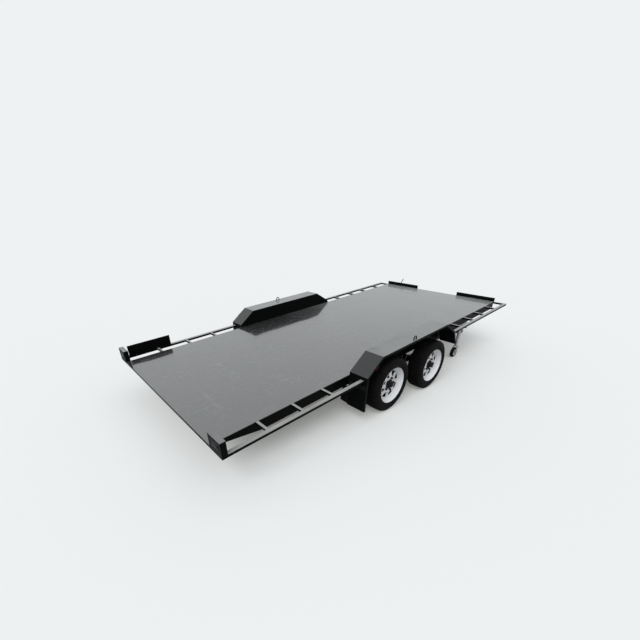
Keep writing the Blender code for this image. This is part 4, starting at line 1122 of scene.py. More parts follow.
@dataclass
class Lamps:
    """The tail lamps in their boxes and the side marker lamps on the mudguards."""

    inner: float = 0.9923
    outer: float = 1.1030
    low: float = 0.0335
    height: float = 0.050
    depth: float = 0.016
    proud: float = 0.002
    bezel: float = 0.0045
    gap: float = 0.0003
    groove: float = 0.0007
    marker_base: float = 0.004
    marker_x: float = 1.614
    marker_up: float = 0.1087
    marker_slope: float = 34.287
    marker_half: float = 0.030
    marker_inner: float = 1.1722
    marker_outer: float = 1.184

    def build(self, dresser: Dresser) -> None:
        """Models each side's lamps.

        Args:
            dresser: finishes each piece and hands it to the frame.
        """
        for side, word in SIDES.items():
            self._tail_lamp(dresser, side, word)
            self._marker(dresser, side, word)

    def _tail_lamp(self, dresser: Dresser, side: int, word: str) -> None:
        """A three-chamber smoked lens in a raised bezel.

        Args:
            dresser: finishes each piece and hands it to the frame.
            side: 1 on the left and -1 on the right.
            word: the side's name.
        """
        edge, gap, low, high = self.bezel, self.gap, self.low, self.low + self.height
        near, far = sorted((side * self.inner, side * self.outer))
        rim = block(f"tail_lamp_bezel_{word}", (-self.proud, near + gap, low + gap),
                    (self.depth - 0.001, far - gap, high - gap), 0.0012)
        hollow = block("bezel hollow", (-edge, near + edge, low + edge),
                       (2 * self.depth, far - edge, high - edge))
        cut(rim, [hollow])
        lens = block(f"tail_lamp_lens_{word}", (-self.proud / 2, near + edge + gap, low + edge + gap),
                     (self.depth, far - edge - gap, high - edge - gap), 0.002)
        third = (far - near) / 3
        wide = self.groove
        grooves = [block("lens groove", (-self.proud, place - wide, 0), (0.0006, place + wide, 1.0))
                   for place in (near + third, far - third)]
        cut(lens, grooves)
        for piece in (rim, lens):
            piece.data.transform(ON_DECK)
        dresser.fit(rim, "bed", Slot.BLACK_PAINT)
        dresser.fit(lens, "bed", Slot.SMOKED_LENS, [f"tail_lamp_{word}"])

    def _marker(self, dresser: Dresser, side: int, word: str) -> None:
        """A red lens on a black base, in line with the mudguard's slope.

        Args:
            dresser: finishes each piece and hands it to the frame.
            side: 1 on the left and -1 on the right.
            word: the side's name.
        """
        place = ON_DECK @ Matrix.Translation((self.marker_x, 0, self.marker_up))
        place = place @ Matrix.Rotation(-self.marker_slope * DEGREE, 4, "Y")
        half, step = self.marker_half, self.marker_inner + self.marker_base
        near, far = sorted((side * self.marker_inner, side * step))
        base = block(f"marker_base_{word}", (-half, near, -0.023), (half, far, -0.001), 0.0015)
        near, far = sorted((side * (step - 0.0005), side * self.marker_outer))
        half -= 0.004
        low, high = (-half, near, -0.0195), (half, far, -0.0045)
        lens = block(f"marker_lens_{word}", low, high, 0.0035)
        for piece in (base, lens):
            piece.data.transform(place)
        dresser.fit(base, "bed", Slot.TYRE)
        dresser.fit(lens, "bed", Slot.RED_LENS, [f"marker_lamp_{word}"])


@dataclass
class BedHardware:
    """The lashing rings and mud flaps of the mudguards, and the bed latch's bent lever at the front edge."""

    ring_x: float = 2.300
    ring_y: float = 1.1452
    ring_foot: float = 0.1833
    ring_half: float = 0.022
    ring_height: float = 0.036
    ring_bar: float = 0.0055
    lever_y: float = 0.700
    lever_foot: float = -0.0197
    lever_bar: float = 0.006
    lever_path: Corners = ((0.028, 0.040), (0.036, 0.062), (0.065, 0.085), (0.080, 0.105))
    lever_ball: float = 0.0085
    weld_section: Corners = ((0.0, 0.0), (0.0095, 0.0), (0.0085, 0.0016), (0.0062, 0.004), (0.0, 0.004))
    deck_front: float = 4.880
    flap_x: float = 1.4995
    flap_sheet: float = 0.004
    flap_outline: Corners = (
        (0.962, -0.060), (1.168, -0.060), (1.170, -0.330), (1.160, -0.337), (0.868, -0.325), (0.860, -0.318),
        (0.885, -0.150), (0.962, -0.120),
    )

    def build(self, dresser: Dresser) -> None:
        """Models the rings, the mud flaps and the lever in place.

        Args:
            dresser: finishes each piece and hands it to the frame.
        """
        for side, word in SIDES.items():
            ring = self._ring(word)
            foot = (self.ring_x, side * self.ring_y, self.ring_foot)
            ring.data.transform(ON_DECK @ Matrix.Translation(foot))
            dresser.fit(ring, "bed", Slot.BLACK_PAINT, [f"lashing_ring_{word}"])
            dresser.fit(self._flap(side, word), "bed", Slot.TYRE)
        lever = self._lever()
        lever.data.transform(ON_DECK)
        dresser.fit(lever, "bed", Slot.BLACK_PAINT, ["latch_lever"])

    def _flap(self, side: int, word: str) -> Piece:
        """A rubber flap on the rear face of a mudguard's drop, which reaches in under the deck.

        Args:
            side: 1 on the left and -1 on the right.
            word: the side's name.

        Returns:
            The flap, in its place.
        """
        outline = [(side * y, z) for y, z in self.flap_outline]
        flap = extruded(f"mud_flap_{word}", outline, 0.0, self.flap_sheet, 0.001, segments=2)
        flap.data.transform(ON_DECK @ Matrix.Translation((self.flap_x, 0, 0)) @ QUARTER_TURN)
        return flap

    def _ring(self, word: str) -> Piece:
        """A U of round bar, with a weld fillet round each foot.

        Args:
            word: the side's name.

        Returns:
            The ring, standing on the origin.
        """
        crown = self.ring_height - self.ring_half
        over = [Vector((x, 0, z)) for x, z in arc((0, crown), self.ring_half, 180, 0, 21)]
        path = [Vector((-self.ring_half, 0, 0)), *over, Vector((self.ring_half, 0, 0))]
        bar = bent_rod("ring bar", path, self.ring_bar)
        fillet = spun("ring weld", self.weld_section, 24)
        places = [facing((along, 0, 0), UP) for along in (-self.ring_half, self.ring_half)]
        welds = placed_set("ring welds", fillet, places)
        return joined(f"lashing_ring_surface_{word}", [bar, welds])

    def _lever(self) -> Piece:
        """The lever's bent bar, the nut at its foot and the ball at its end.

        Returns:
            The lever, in the deck's own frame.
        """
        corners = [Vector((self.deck_front + self.lever_path[0][0], self.lever_y, self.lever_foot))]
        corners += [Vector((self.deck_front + ahead, self.lever_y, up)) for ahead, up in self.lever_path]
        bar = bent_rod("lever bar", rounded_path(corners, 0.010), self.lever_bar)
        nut = fastener("lever nut", 0.019, 0.009, 0.006)
        nut.data.transform(facing(corners[0], UP))
        size = self.lever_ball
        ball = spun("lever ball", [(0.0, -size), *arc((0.0, 0.0), size, -70, 70, 9), (0.0, size)], 24)
        ball.data.transform(Matrix.Translation(corners[-1]))
        return joined("latch_lever_surface", [bar, nut, ball])


@dataclass
class SpringPacks:
    """The four leaf packs under the axles, with their U-bolts and seat plates."""

    half: float = 0.330
    rise: float = 0.048
    width: float = 0.045
    leaf: float = 0.007
    leaf_gap: float = 0.0005
    reaches: tuple[float, ...] = (0.319, 0.240, 0.150)
    beam_half: float = 0.025
    clear: float = 0.0003
    flat: float = 0.012
    eye_outer: float = 0.015
    eye_inner: float = 0.0092
    plate_half: float = 0.055
    plate: float = 0.010
    bolt_bar: float = 0.005
    bolt_end: float = 0.010
    rail_y: float = 0.800
    axle_height: float = 0.298
    axles: tuple[tuple[str, float], ...] = (("front", 0.408), ("rear", -0.408))

    def build(self, dresser: Dresser) -> None:
        """Models one pack about its axle and copies it to the four places.

        Args:
            dresser: finishes each piece and hands it to the frame.
        """
        pack = self._pack()
        clamps = self._clamps()
        for end, along in self.axles:
            for side, word in SIDES.items():
                place = ON_CHASSIS @ Matrix.Translation((along, side * self.rail_y, self.axle_height))
                copy = placed_copy(pack, f"leaf_pack_{end}_{word}", place)
                dresser.fit(copy, "chassis", Slot.AXLE_PAINT, [f"spring_{end}_{word}"])
                copy = placed_copy(clamps, f"spring_clamps_{end}_{word}", place)
                dresser.fit(copy, "chassis", Slot.ZINC)
        for model in (pack, clamps):
            bpy.data.objects.remove(model, do_unlink=True)

    def _pack(self) -> Piece:
        """Three leaves on the main leaf's arc, the main one with an eye at each end.

        Returns:
            The pack, about its axle's middle.
        """
        seat = -self.beam_half - self.clear
        radius = (self.half ** 2 + self.rise ** 2) / (2 * self.rise)
        level = math.atan2(self.beam_half + self.flat, radius)
        centre = seat + radius * math.cos(level)
        edge = self.width / 2
        parts = []
        for number, reach in enumerate(self.reaches):
            top = radius + number * self.leaf + self.leaf_gap
            low = radius + (number + 1) * self.leaf
            swing = math.degrees(math.asin(reach / low))
            upper = arc((0.0, centre), top, -90 - swing, -90 + swing, 25)
            lower = arc((0.0, centre), low, -90 + swing, -90 - swing, 25)
            parts.append(extruded("leaf", [*upper, *lower], -edge, edge, 0.0008))
        eye_height = seat + self.rise
        section = [(self.eye_inner, -edge), (self.eye_outer, -edge), (self.eye_outer, edge),
                   (self.eye_inner, edge)]
        eye = spun("leaf eye", section, 32, closed=True)
        places = [Matrix.Translation((way * self.half, 0, eye_height)) for way in (-1, 1)]
        parts.append(placed_set("leaf eyes", eye, places))
        deep = seat - self.leaf * len(self.reaches)
        wide = edge + self.plate
        low = (-self.plate_half, -wide, deep - self.plate)
        parts.append(block("seat plate", low, (self.plate_half, wide, deep), 0.0015))
        return joined("leaf pack model", parts)

    def _clamps(self) -> Piece:
        """Two U-bolts over the axle beam, with their nuts under the seat plate.

        Returns:
            The U-bolts and nuts, about the axle's middle.
        """
        deep = -self.beam_half - self.clear - self.leaf * len(self.reaches) - self.plate
        out = self.beam_half + self.bolt_bar + 0.0005
        across = self.width / 2 + 0.0045
        foot = deep - self.bolt_end
        path = ((-out, foot), (-out, out), (out, out), (out, foot))
        corners = [Vector((x, 0, z)) for x, z in path]
        bar = bent_rod("U-bolt", rounded_path(corners, 0.010), self.bolt_bar)
        nut = fastener("U-bolt nut", 0.016, 0.008, self.bolt_bar)
        bars = placed_set("U-bolts", bar, [Matrix.Translation((0, way * across, 0)) for way in (-1, 1)])
        places = [facing((x, y, deep), DOWN) for x in (-out, out) for y in (-across, across)]
        return joined("spring clamps model", [bars, placed_set("U-bolt nuts", nut, places)])


@dataclass
class ChassisHardware:
    """The nuts of the hangers and rockers, and the tilt pins' outer nuts."""

    rail_y: float = 0.800
    plate_face: float = 0.0291
    rail_face: float = 0.825
    eye_height: float = 0.3207
    pivot_height: float = 0.348
    hanger_x: float = 0.738
    inner_eye_x: float = 0.078
    pin_x: float = -0.800
    pin_height: float = 0.420

    def build(self, dresser: Dresser) -> None:
        """Models one nut of each size and copies it to its places.

        Args:
            dresser: finishes each piece and hands it to the frame.
        """
        along = (-self.hanger_x, -self.inner_eye_x, self.inner_eye_x, self.hanger_x)
        eyes = [(x, self.eye_height) for x in along] + [(0.0, self.pivot_height)]
        for side, word in SIDES.items():
            faces = [(side * (self.rail_y + way * self.plate_face), (0, side * way, 0)) for way in (-1, 1)]
            places = [ON_CHASSIS @ facing((x, y, z), out) for x, z in eyes for y, out in faces]
            nuts = placed_set(f"hanger_nuts_{word}", fastener("hanger nut", 0.022, 0.006, 0.008), places)
            dresser.fit(nuts, "chassis", Slot.ZINC)
            place = ON_CHASSIS @ facing((self.pin_x, side * self.rail_face, self.pin_height), (0, side, 0))
            pin = placed_set(f"tilt_pin_nut_{word}", fastener("tilt pin nut", 0.036, 0.012, 0.015), [place])
            dresser.fit(pin, "chassis", Slot.ZINC)


@dataclass
class TiltRam:
    """The tilt ram: a smooth barrel with its gland and oil ports, and a chromed rod with its eye."""

    base: tuple[float, float, float] = (-1.05167, 0.0, 0.28)
    eye_on_bed: tuple[float, float, float] = (1.2081, 0.0, -0.010)
    barrel_share: float = 0.640
    radius: float = 0.030
    rod_radius: float = 0.014
    eye_radius: float = 0.022
    eye_half: float = 0.015
    pin_radius: float = 0.010
    overlap: float = 0.110
    hollow_from: float = 0.072
    pin_half: float = 0.023

    def build(self, dresser: Dresser) -> None:
        """Models the ram along Y and lays it between its base pin and the bed's ears.

        Args:
            dresser: finishes each piece and hands it to the frame.
        """
        base = Vector(self.base)
        line = ON_BED @ Vector(self.eye_on_bed) - base
        place = facing(base, line)
        end = line.length * self.barrel_share
        barrel = self._barrel(end)
        barrel.data.transform(place)
        dresser.fit(barrel, "ram_barrel", Slot.BLACK_PAINT, ["ram_barrel"])
        rod = self._rod(end, line.length)
        rod.data.transform(place)
        dresser.fit(rod, "ram_rod", Slot.RAM_CHROME, ["ram_rod"])

    def _eye(self, along: float, inner: float) -> Piece:
        """An eye across the ram, whose bore lies along X before the ram is laid in place.

        Args:
            along: its place along the ram.
            inner: its bore's radius.

        Returns:
            The eye, in the ram's own frame.
        """
        outer, half = self.eye_radius, self.eye_half
        section = [(inner, -half), (outer - 0.0015, -half), (outer, 0.0015 - half), (outer, half - 0.0015),
                   (outer - 0.0015, half), (inner, half)]
        eye = spun("ram eye", section, 40, closed=True)
        eye.data.transform(Matrix.Translation((0, along, 0)) @ QUARTER_TURN)
        return eye

    def _barrel(self, end: float) -> Piece:
        """The barrel with its cap, gland nut, two oil ports and base eye.

        Args:
            end: how far along the ram it reaches.

        Returns:
            The barrel, in the ram's own frame.
        """
        radius, bore = self.radius, self.rod_radius + 0.001
        cap = [(0.0, 0.012), (0.015, 0.012), (0.015, 0.029), (0.026, 0.032), (0.0295, 0.0355),
               (radius, 0.038)]
        wide, snug = radius + 0.003, radius + 0.001
        gland = [(radius, end - 0.032), (radius + 0.0025, end - 0.030), (wide, end - 0.028),
                 (wide, end - 0.012), (snug, end - 0.010), (snug, end - 0.003), (radius - 0.002, end)]
        hollow = [(bore, end), (bore, self.hollow_from), (0.0, self.hollow_from)]
        barrel = spun("ram_barrel_surface", cap + gland + hollow, 48)
        port = fastener("oil port", 0.017, 0.010, 0.005)
        places = [facing((0, along, -radius + 0.001), DOWN) for along in (0.060, end - 0.045)]
        ports = placed_set("oil ports", port, places)
        return joined("ram_barrel_surface", [barrel, ports, self._eye(0.0, self.pin_radius + 0.001)])

    def _rod(self, end: float, length: float) -> Piece:
        """The rod, its collar, and the eye with the pin that hangs it from the bed.

        Args:
            end: how far along the ram the barrel reaches.
            length: how far it is from the base pin to the bed's pin.

        Returns:
            The rod, in the ram's own frame.
        """
        radius = self.rod_radius
        stop = length - self.eye_radius + 0.004
        profile = [(0.0, end - self.overlap), (radius, end - self.overlap), (radius, stop - 0.014),
                   (radius + 0.003, stop - 0.012), (radius + 0.003, stop), (0.0, stop)]
        rod = spun("ram_rod_surface", profile, 40)
        half, thick = self.pin_half, self.pin_radius
        pin = spun("rod pin", [(0.0, -half), (thick, -half), (thick, half), (0.0, half)], 32)
        pin.data.transform(Matrix.Translation((0, length, 0)) @ QUARTER_TURN)
        return joined("ram_rod_surface", [rod, self._eye(length, self.pin_radius), pin])


@dataclass
class BallCoupling:
    """The ball coupling: a pressed body with a ball socket under its nose, its handle and its bolts."""

    floor: float = 0.4173
    rear: float = 3.590
    ball_x: float = 3.845
    half: float = 0.032
    shell: Corners = (
        (-0.113, 0.0), (-0.050, -0.022), (-0.045, -0.045), (0.040, -0.045), (0.045, 0.004), (0.036, 0.022),
        (0.018, 0.034), (-0.070, 0.044),
    )
    handle: Corners = (
        (-0.055, 0.038), (-0.028, 0.036), (-0.020, 0.046), (-0.030, 0.055), (-0.090, 0.060), (-0.150, 0.062),
        (-0.152, 0.055), (-0.090, 0.052), (-0.058, 0.047),
    )
    ball_radius: float = 0.0255
    crown: float = 0.007
    bolt_places: Corners = ((3.615, 0.0358), (3.675, 0.0385))

    def build(self, dresser: Dresser) -> None:
        """Models the body, the handle and the bolts.

        Args:
            dresser: finishes each piece and hands it to the frame.
        """
        outline = [(self.rear, self.floor)] + [(self.ball_x + x, self.floor + z) for x, z in self.shell]
        outline.append((self.rear, self.floor + 0.036))
        body = extruded("coupling_body", outline, -self.half, self.half, 0.005)
        top = self.crown - self.ball_radius
        dome = arc((0.0, top), self.ball_radius, 0, 90, 9)[:-1] + [(0.0, self.crown)]
        socket = spun("ball socket", [(0.0, -0.060), (self.ball_radius, -0.060), *dome], 40)
        socket.data.transform(facing((self.ball_x, 0, self.floor), UP))
        cut(body, [socket])
        body.data.transform(ON_CHASSIS)
        dresser.fit(body, "chassis", Slot.ZINC, ["coupling"])
        outline = [(self.ball_x + x, self.floor + z) for x, z in self.handle]
        handle = extruded("coupling_handle", outline, -0.013, 0.013, 0.002)
        handle.data.transform(ON_CHASSIS)
        dresser.fit(handle, "chassis", Slot.ZINC)
        places = [ON_CHASSIS @ facing((x, 0, self.floor + z), UP) for x, z in self.bolt_places]
        bolts = placed_set("coupling_bolts", fastener("coupling bolt", 0.022, 0.009, 0.007), places)
        dresser.fit(bolts, "chassis", Slot.ZINC)


@dataclass
class JockeyWheel:
    """The jockey wheel: clamped outer tube with crank and loop, winding leg, and the wheel in its fork."""

    place: tuple[float, float] = (0.94833, -0.87)
    tube_radius: float = 0.024
    leg_radius: float = 0.019
    tube_low: float = 0.275
    tube_top: float = 0.432
    leg_low: float = 0.1653
    leg_top: float = 0.325
    clamp_low: float = 0.376
    clamp_high: float = 0.425
    rail_face: float = 0.0447
    crank_reach: float = 0.090
    crank_half: float = 0.008
    loop_size: tuple[float, float] = (0.028, 0.049)
    loop_bar: float = 0.005
    wheel_radius: float = 0.075
    wheel_half: float = 0.0225
    trail: float = 0.035

    def build(self, dresser: Dresser) -> None:
        """Models each piece about the jockey's own axis and moves it to its place.

        Args:
            dresser: finishes each piece and hands it to the frame.
        """
        spot = Matrix.Translation((*self.place, 0.0))
        wheel_spot = spot @ Matrix.Translation((-self.trail, 0, self.wheel_radius))
        pieces = (
            (self._tube(), spot, "chassis", Slot.ZINC, ["jockey_tube"]),
            (self._grip(), spot, "chassis", Slot.JOCKEY_RUBBER, []),
            (self._leg(), spot, "jockey_leg", Slot.ZINC, ["jockey_leg"]),
            (self._tyre(), wheel_spot, "jockey_wheel", Slot.JOCKEY_RUBBER, ["jockey_wheel"]),
            (self._centre(), wheel_spot, "jockey_wheel", Slot.ZINC, []),
        )
        for piece, place, body, slot, nodes in pieces:
            piece.data.transform(place)
            dresser.fit(piece, body, slot, nodes)

    def _tube(self) -> Piece:
        """The outer tube with its cap, split clamp, bracket, crank arm and lifting loop.

        Returns:
            The tube, about the jockey's own axis.
        """
        outer, foot, top, bore = self.tube_radius, self.tube_low, self.tube_top, self.leg_radius + 0.001
        barrel = [(0.0, top - 0.008), (bore, top - 0.008), (bore, foot), (outer - 0.001, foot),
                  (outer, foot + 0.001)]
        brim = outer + 0.0015
        cap = [(outer, top - 0.010), (brim, top - 0.009), (brim, top - 0.003), (outer - 0.004, top),
               (0.0, top)]
        tube = spun("jockey tube", barrel + cap, 48)
        wall = outer + 0.005
        section = [(outer, self.clamp_low), (wall - 0.001, self.clamp_low), (wall, self.clamp_low + 0.001),
                   (wall, self.clamp_high - 0.001), (wall - 0.001, self.clamp_high), (outer, self.clamp_high)]
        clamp = spun("jockey clamp", section, 48, closed=True)
        for piece in (tube, clamp):
            piece.data.transform(facing((0, 0, 0), UP))
        low, high = self.clamp_low + 0.004, self.clamp_high - 0.004
        bracket = block("jockey bracket", (-0.022, outer - 0.001, low), (0.022, self.rail_face, high), 0.002)
        lugs = [block("clamp lug", (-0.010, -wall - 0.016, low), (-0.003, 0.001 - outer, high), 0.0015),
                block("clamp lug", (0.003, -wall - 0.016, low), (0.010, 0.001 - outer, high), 0.0015)]
        middle = (low + high) / 2
        bolt = fastener("clamp bolt", 0.013, 0.006, 0.004)
        places = [facing((way * 0.010, -wall - 0.008, middle), (way, 0, 0)) for way in (-1, 1)]
        bolts = placed_set("clamp bolts", bolt, places)
        half = self.crank_half
        arm = [(-self.crank_reach, top - half / 2), (half, top - half / 2), (half, top + half / 2),
               (-self.crank_reach, top + half / 2)]
        crank = extruded("crank arm", arm, -half, half, 0.003)
        wide, tall = self.loop_size
        turns = [FULL_TURN * step / 36 for step in range(36)]
        oval = [Vector((wall + 0.023 + wide * math.cos(turn), 0, self.clamp_low + tall * math.sin(turn)))
                for turn in turns]
        loop = bent_rod("lifting loop", oval, self.loop_bar, ring=True)
        return joined("jockey_tube_surface", [tube, clamp, bracket, *lugs, bolts, crank, loop])

    def _grip(self) -> Piece:
        """The crank's handle.

        Returns:
            The handle, about the jockey's own axis.
        """
        section = ((0.0, 0.055), (0.006, 0.055), (0.0085, 0.050), (0.009, 0.030), (0.008, 0.012),
                   (0.0088, 0.005), (0.0, 0.004))
        grip = spun("crank_grip", [(radius, self.tube_top - below) for radius, below in section], 28)
        grip.data.transform(facing((0.0045 - self.crank_reach, 0, 0), UP))
        return grip

    def _leg(self) -> Piece:
        """The winding leg.

        Returns:
            The leg, about the jockey's own axis.
        """
        leg = spun("jockey_leg_surface", peg(self.leg_radius, self.leg_low, self.leg_top, 0.001), 40)
        leg.data.transform(facing((0, 0, 0), UP))
        return leg

    def _tyre(self) -> Piece:
        """The small solid tyre, with a rounded tread.

        Returns:
            The tyre, about the origin.
        """
        half, radius = self.wheel_half, self.wheel_radius
        side = [(0.049, half - 0.004), (0.052, half - 0.001), (0.058, half), (0.066, half - 0.001),
                (0.072, half - 0.006), (0.0745, half - 0.013), (radius, half - 0.019)]
        return spun("jockey_tyre", both_sides(side), 56, closed=True)

    def _centre(self) -> Piece:
        """The wheel's dished centre with its bearing boss.

        Returns:
            The centre, about the origin.
        """
        half = self.wheel_half
        dish, lip = half - 0.0145, half - 0.002
        side = [(0.0072, half), (0.0135, half), (0.0150, half - 0.0015), (0.0165, half - 0.011),
                (0.022, dish), (0.038, dish), (0.044, half - 0.009), (0.0475, lip), (0.0495, lip)]
        return spun("jockey_wheel_centre", both_sides(side), 56, closed=True)


@dataclass
class RoadWheels:
    """The four road wheels: blocked tyre, steel rim with eight windows, hub with nuts and dust cap."""

    words: tuple[str, ...] = ("front_left", "front_right", "rear_left", "rear_right")
    rim_radius: float = 0.195
    rim_half: float = 0.0825
    rim_wall: float = 0.004
    bead_drop: float = 0.012
    well_drop: float = 0.030
    disc_inset: float = 0.045
    disc_wall: float = 0.005
    bore: float = 0.0525
    hub_gap: float = 0.0003
    hub_bore: float = 0.021
    windows: int = 8
    window_inner: float = 0.088
    window_outer: float = 0.150
    window_half: float = 0.037
    window_tip: float = 0.012
    window_rounding: float = 0.0045
    tread_depth: float = 0.0065
    tread_bands: tuple[float, ...] = (0.045, 0.039, 0.019, 0.013)
    tread_crown: float = 0.0012
    tyre_wall: float = 0.0729
    tyre_wall_middle: float = 0.239
    tyre_steps: int = 144
    rim_steps: int = 96
    nuts: int = 5
    nut_circle: float = 0.069
    nut_across: float = 0.021
    nut_height: float = 0.016
    valve_circle: float = 0.157
    valve_section: Corners = (
        (0.0, -0.012), (0.0058, -0.012), (0.0062, 0.0), (0.0045, 0.004), (0.0042, 0.012), (0.0048, 0.013),
        (0.0048, 0.021), (0.004, 0.022), (0.0, 0.022),
    )

    def build(self, dresser: Dresser) -> None:
        """Models one wheel about the origin and copies its pieces to the four places.

        Args:
            dresser: finishes each piece and hands it to the frame.
        """
        low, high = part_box("tyre_front_left")
        radius = (high.z - low.z) / 2
        half = (high.y - low.y) / 2
        models = {
            "tyre": (self._tyre(radius, half), Slot.TYRE, 30),
            "rim": (self._rim(), Slot.RIM_PAINT, 32),
            "hub": (self._hub(), Slot.HUB_PAINT, 35),
            "nuts": (self._nut_ring(), Slot.HUB_PAINT, 30),
            "valve": (self._valve(), Slot.TYRE, 40),
        }
        for word in self.words:
            low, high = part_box(f"tyre_{word}")
            centre = (low + high) / 2
            side = 1 if centre.y > 0 else -1
            place = Matrix.Translation(centre) @ Matrix.Diagonal((1, side, 1, 1))
            for part, (model, slot, angle) in models.items():
                nodes = [] if part in ("nuts", "valve") else [f"{part}_{word}"]
                name = f"{part}_surface_{word}" if nodes else f"wheel_{part}_{word}"
                piece = placed_copy(model, name, place)
                dresser.fit(piece, f"wheel_{word}", slot, nodes, angle)
        for model, _, _ in models.values():
            bpy.data.objects.remove(model, do_unlink=True)

    def _tyre(self, radius: float, half: float) -> Piece:
        """The tyre's carcass, with its tread blocks raised from the groove floor.

        Args:
            radius: the tread's outer radius.
            half: half the section's width.

        Returns:
            The tyre about the origin.
        """
        floor = radius - self.tread_depth
        bead = self.rim_radius - self.bead_drop
        middle = (self.tyre_wall_middle, half - self.tyre_wall)
        lower_wall = arc(middle, self.tyre_wall, 121, 90, 6)
        upper_wall = arc(middle, self.tyre_wall, 84, 58, 5)
        foot = [(bead, self.rim_half - self.bead_drop), (self.rim_radius, self.rim_half + 0.0004)]
        guard_ring = [(0.1975, self.rim_half + 0.0016), (0.2005, self.rim_half + 0.0016)]
        shoulder = [(floor - 0.006, 0.0735), (floor - 0.0025, 0.066)]
        shoulder_rib, rib_outside, rib_inside, centre_rib = self.tread_bands
        tread = [(floor - self.tread_crown * (y / shoulder_rib) ** 2, y) for y in self.tread_bands]
        outer_half = foot + guard_ring + lower_wall + upper_wall + shoulder + tread
        profile = outer_half + [(r, -y) for r, y in reversed(outer_half)]
        tyre = spun("tyre model", profile, self.tyre_steps, closed=True)
        edit(tyre, "FACE")
        pitch = FULL_TURN / self.tyre_steps

        def is_block(face: bmesh.types.BMFace) -> bool:
            """Whether a face is on a rib and not in a groove.

            Args:
                face: a face of the tyre.

            Returns:
                Whether it is raised.
            """
            place = face.calc_center_median()
            across = abs(place.y)
            if math.hypot(place.x, place.z) < floor - 0.0085:
                return False
            step = int(math.atan2(place.z, place.x) / pitch + self.tyre_steps)
            if across < centre_rib:
                return step % 8 != 0
            if rib_inside < across < rib_outside:
                return (step + (2 if place.y > 0 else 4)) % 6 != 0
            return across > shoulder_rib and (step + (1 if place.y > 0 else 3)) % 4 != 0

        select_faces(tyre, is_block)
        bpy.ops.mesh.extrude_region_move()
        grow = radius / floor
        bpy.ops.transform.resize(value=(grow, 1.0, grow), center_override=(0, 0, 0))
        face_outwards()
        return tyre

    def _rim(self) -> Piece:
        """The rim and its disc in one section, with eight windows cut and their edges rounded.

        Returns:
            The rim, about the origin.
        """
        half = self.rim_half
        seat = self.rim_radius - self.bead_drop
        well = self.rim_radius - self.well_drop
        disc = half - self.disc_inset
        wall = self.rim_wall
        outside = [(self.rim_radius, -half), (seat, self.bead_drop - half), (well, -disc), (well, disc),
                   (seat, half - self.bead_drop), (self.rim_radius, half)]
        flange = arc((self.rim_radius - wall / 2, half), wall / 2, 60, 180, 4)
        front = flange + [(seat - wall, half - self.bead_drop), (well - wall, disc + 0.012)]
        front += arc((well - wall - 0.010, disc + 0.004), 0.010, 0, -90, 4)
        front += [(0.150, disc - 0.006), (0.112, disc - 0.001), (0.092, disc + 0.009), (0.086, disc + 0.010),
                  (0.080, disc + 0.009), (0.074, disc + 0.002), (self.bore, disc)]
        back = [(self.bore, disc - self.disc_wall), (0.076, disc - 0.004), (0.086, disc + 0.004),
                (0.112, disc - 0.006), (0.150, disc - 0.011), (well - wall, disc - 0.010),
                (well - wall, -disc - wall / 2), (seat - wall, -(half - self.bead_drop)),
                (self.rim_radius - wall, -half)]
        rim = spun("rim model", outside + front + back, self.rim_steps, closed=True)
        cut(rim, [self._window(number, disc) for number in range(self.windows)])
        soften(rim, 0.0012, 42, segments=2)
        return rim

    def _window(self, number: int, disc: float) -> Piece:
        """One window's cutter, narrower to the hub, with rounded corners.

        Args:
            number: which of the windows it is.
            disc: the disc's place along the axle.

        Returns:
            The cutter, across the disc.
        """
        inner, outer, half = self.window_inner, self.window_outer, self.window_half
        tip = self.window_tip
        outline = [(inner, -tip), (outer - 0.004, -half), (outer, 0.0), (outer - 0.004, half), (inner, tip)]
        cutter = extruded("window cutter", outline, disc - 0.03, disc + 0.03)
        soften(cutter, self.window_rounding, 60)
        cutter.data.transform(Matrix.Rotation(FULL_TURN * (number + 0.5) / self.windows, 4, "Y"))
        return cutter

    def _hub(self) -> Piece:
        """The brake drum, the hub flange through the disc, and the pressed dust cap.

        Returns:
            The hub, about the origin.
        """
        low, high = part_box("hub_front_left")
        tyre_low, tyre_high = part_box("tyre_front_left")
        centre = (tyre_low.y + tyre_high.y) / 2
        inner = low.y - centre
        nose = high.y - centre
        drum = (high.x - low.x) / 2
        disc = self.rim_half - self.disc_inset
        seat = disc - self.disc_wall - self.hub_gap
        bore = self.hub_bore
        hollow = [(0.0, inner + 0.100), (bore, inner + 0.100)]
        outside = [(bore, inner), (drum - 0.003, inner), (drum, inner + 0.003), (drum, inner + 0.046),
                   (drum - 0.004, inner + 0.050), (0.074, inner + 0.056), (0.070, inner + 0.060),
                   (0.070, seat), (0.0519, seat), (0.0519, disc + 0.004), (0.050, disc + 0.006),
                   (0.041, disc + 0.008), (0.0355, disc + 0.010), (0.0355, disc + 0.014),
                   (0.0325, disc + 0.016)]
        cap = arc((0.0, nose - 0.020), 0.0322, 18, 90, 7)[:-1]
        outside = [(radius, min(along, nose)) for radius, along in outside + cap]
        return spun("hub model", [*hollow, *outside, (0.0, nose)], 64)

    def _nut_ring(self) -> Piece:
        """Five wheel nuts on washers, with their stud ends, as one ring of separate nuts.

        Returns:
            The ring of nuts, about the origin.
        """
        disc = self.rim_half - self.disc_inset + 0.0012
        nut = fastener("wheel nut", self.nut_across, self.nut_height, 0.006)
        first = Matrix.Translation((self.nut_circle, disc, 0))
        turns = [Matrix.Rotation(FULL_TURN * number / self.nuts, 4, "Y") for number in range(self.nuts)]
        return placed_set("nut ring model", nut, [turn @ first for turn in turns])

    def _valve(self) -> Piece:
        """The rubber valve stem in the rim's barrel, with its cap.

        Returns:
            The valve, for the wheel about the origin.
        """
        start = self.rim_half - self.disc_inset + 0.008
        valve = spun("valve model", self.valve_section, 20)
        valve.data.transform(facing((-self.valve_circle, start, 0.0), (0.35, 1.0, 0.0)))
        return valve


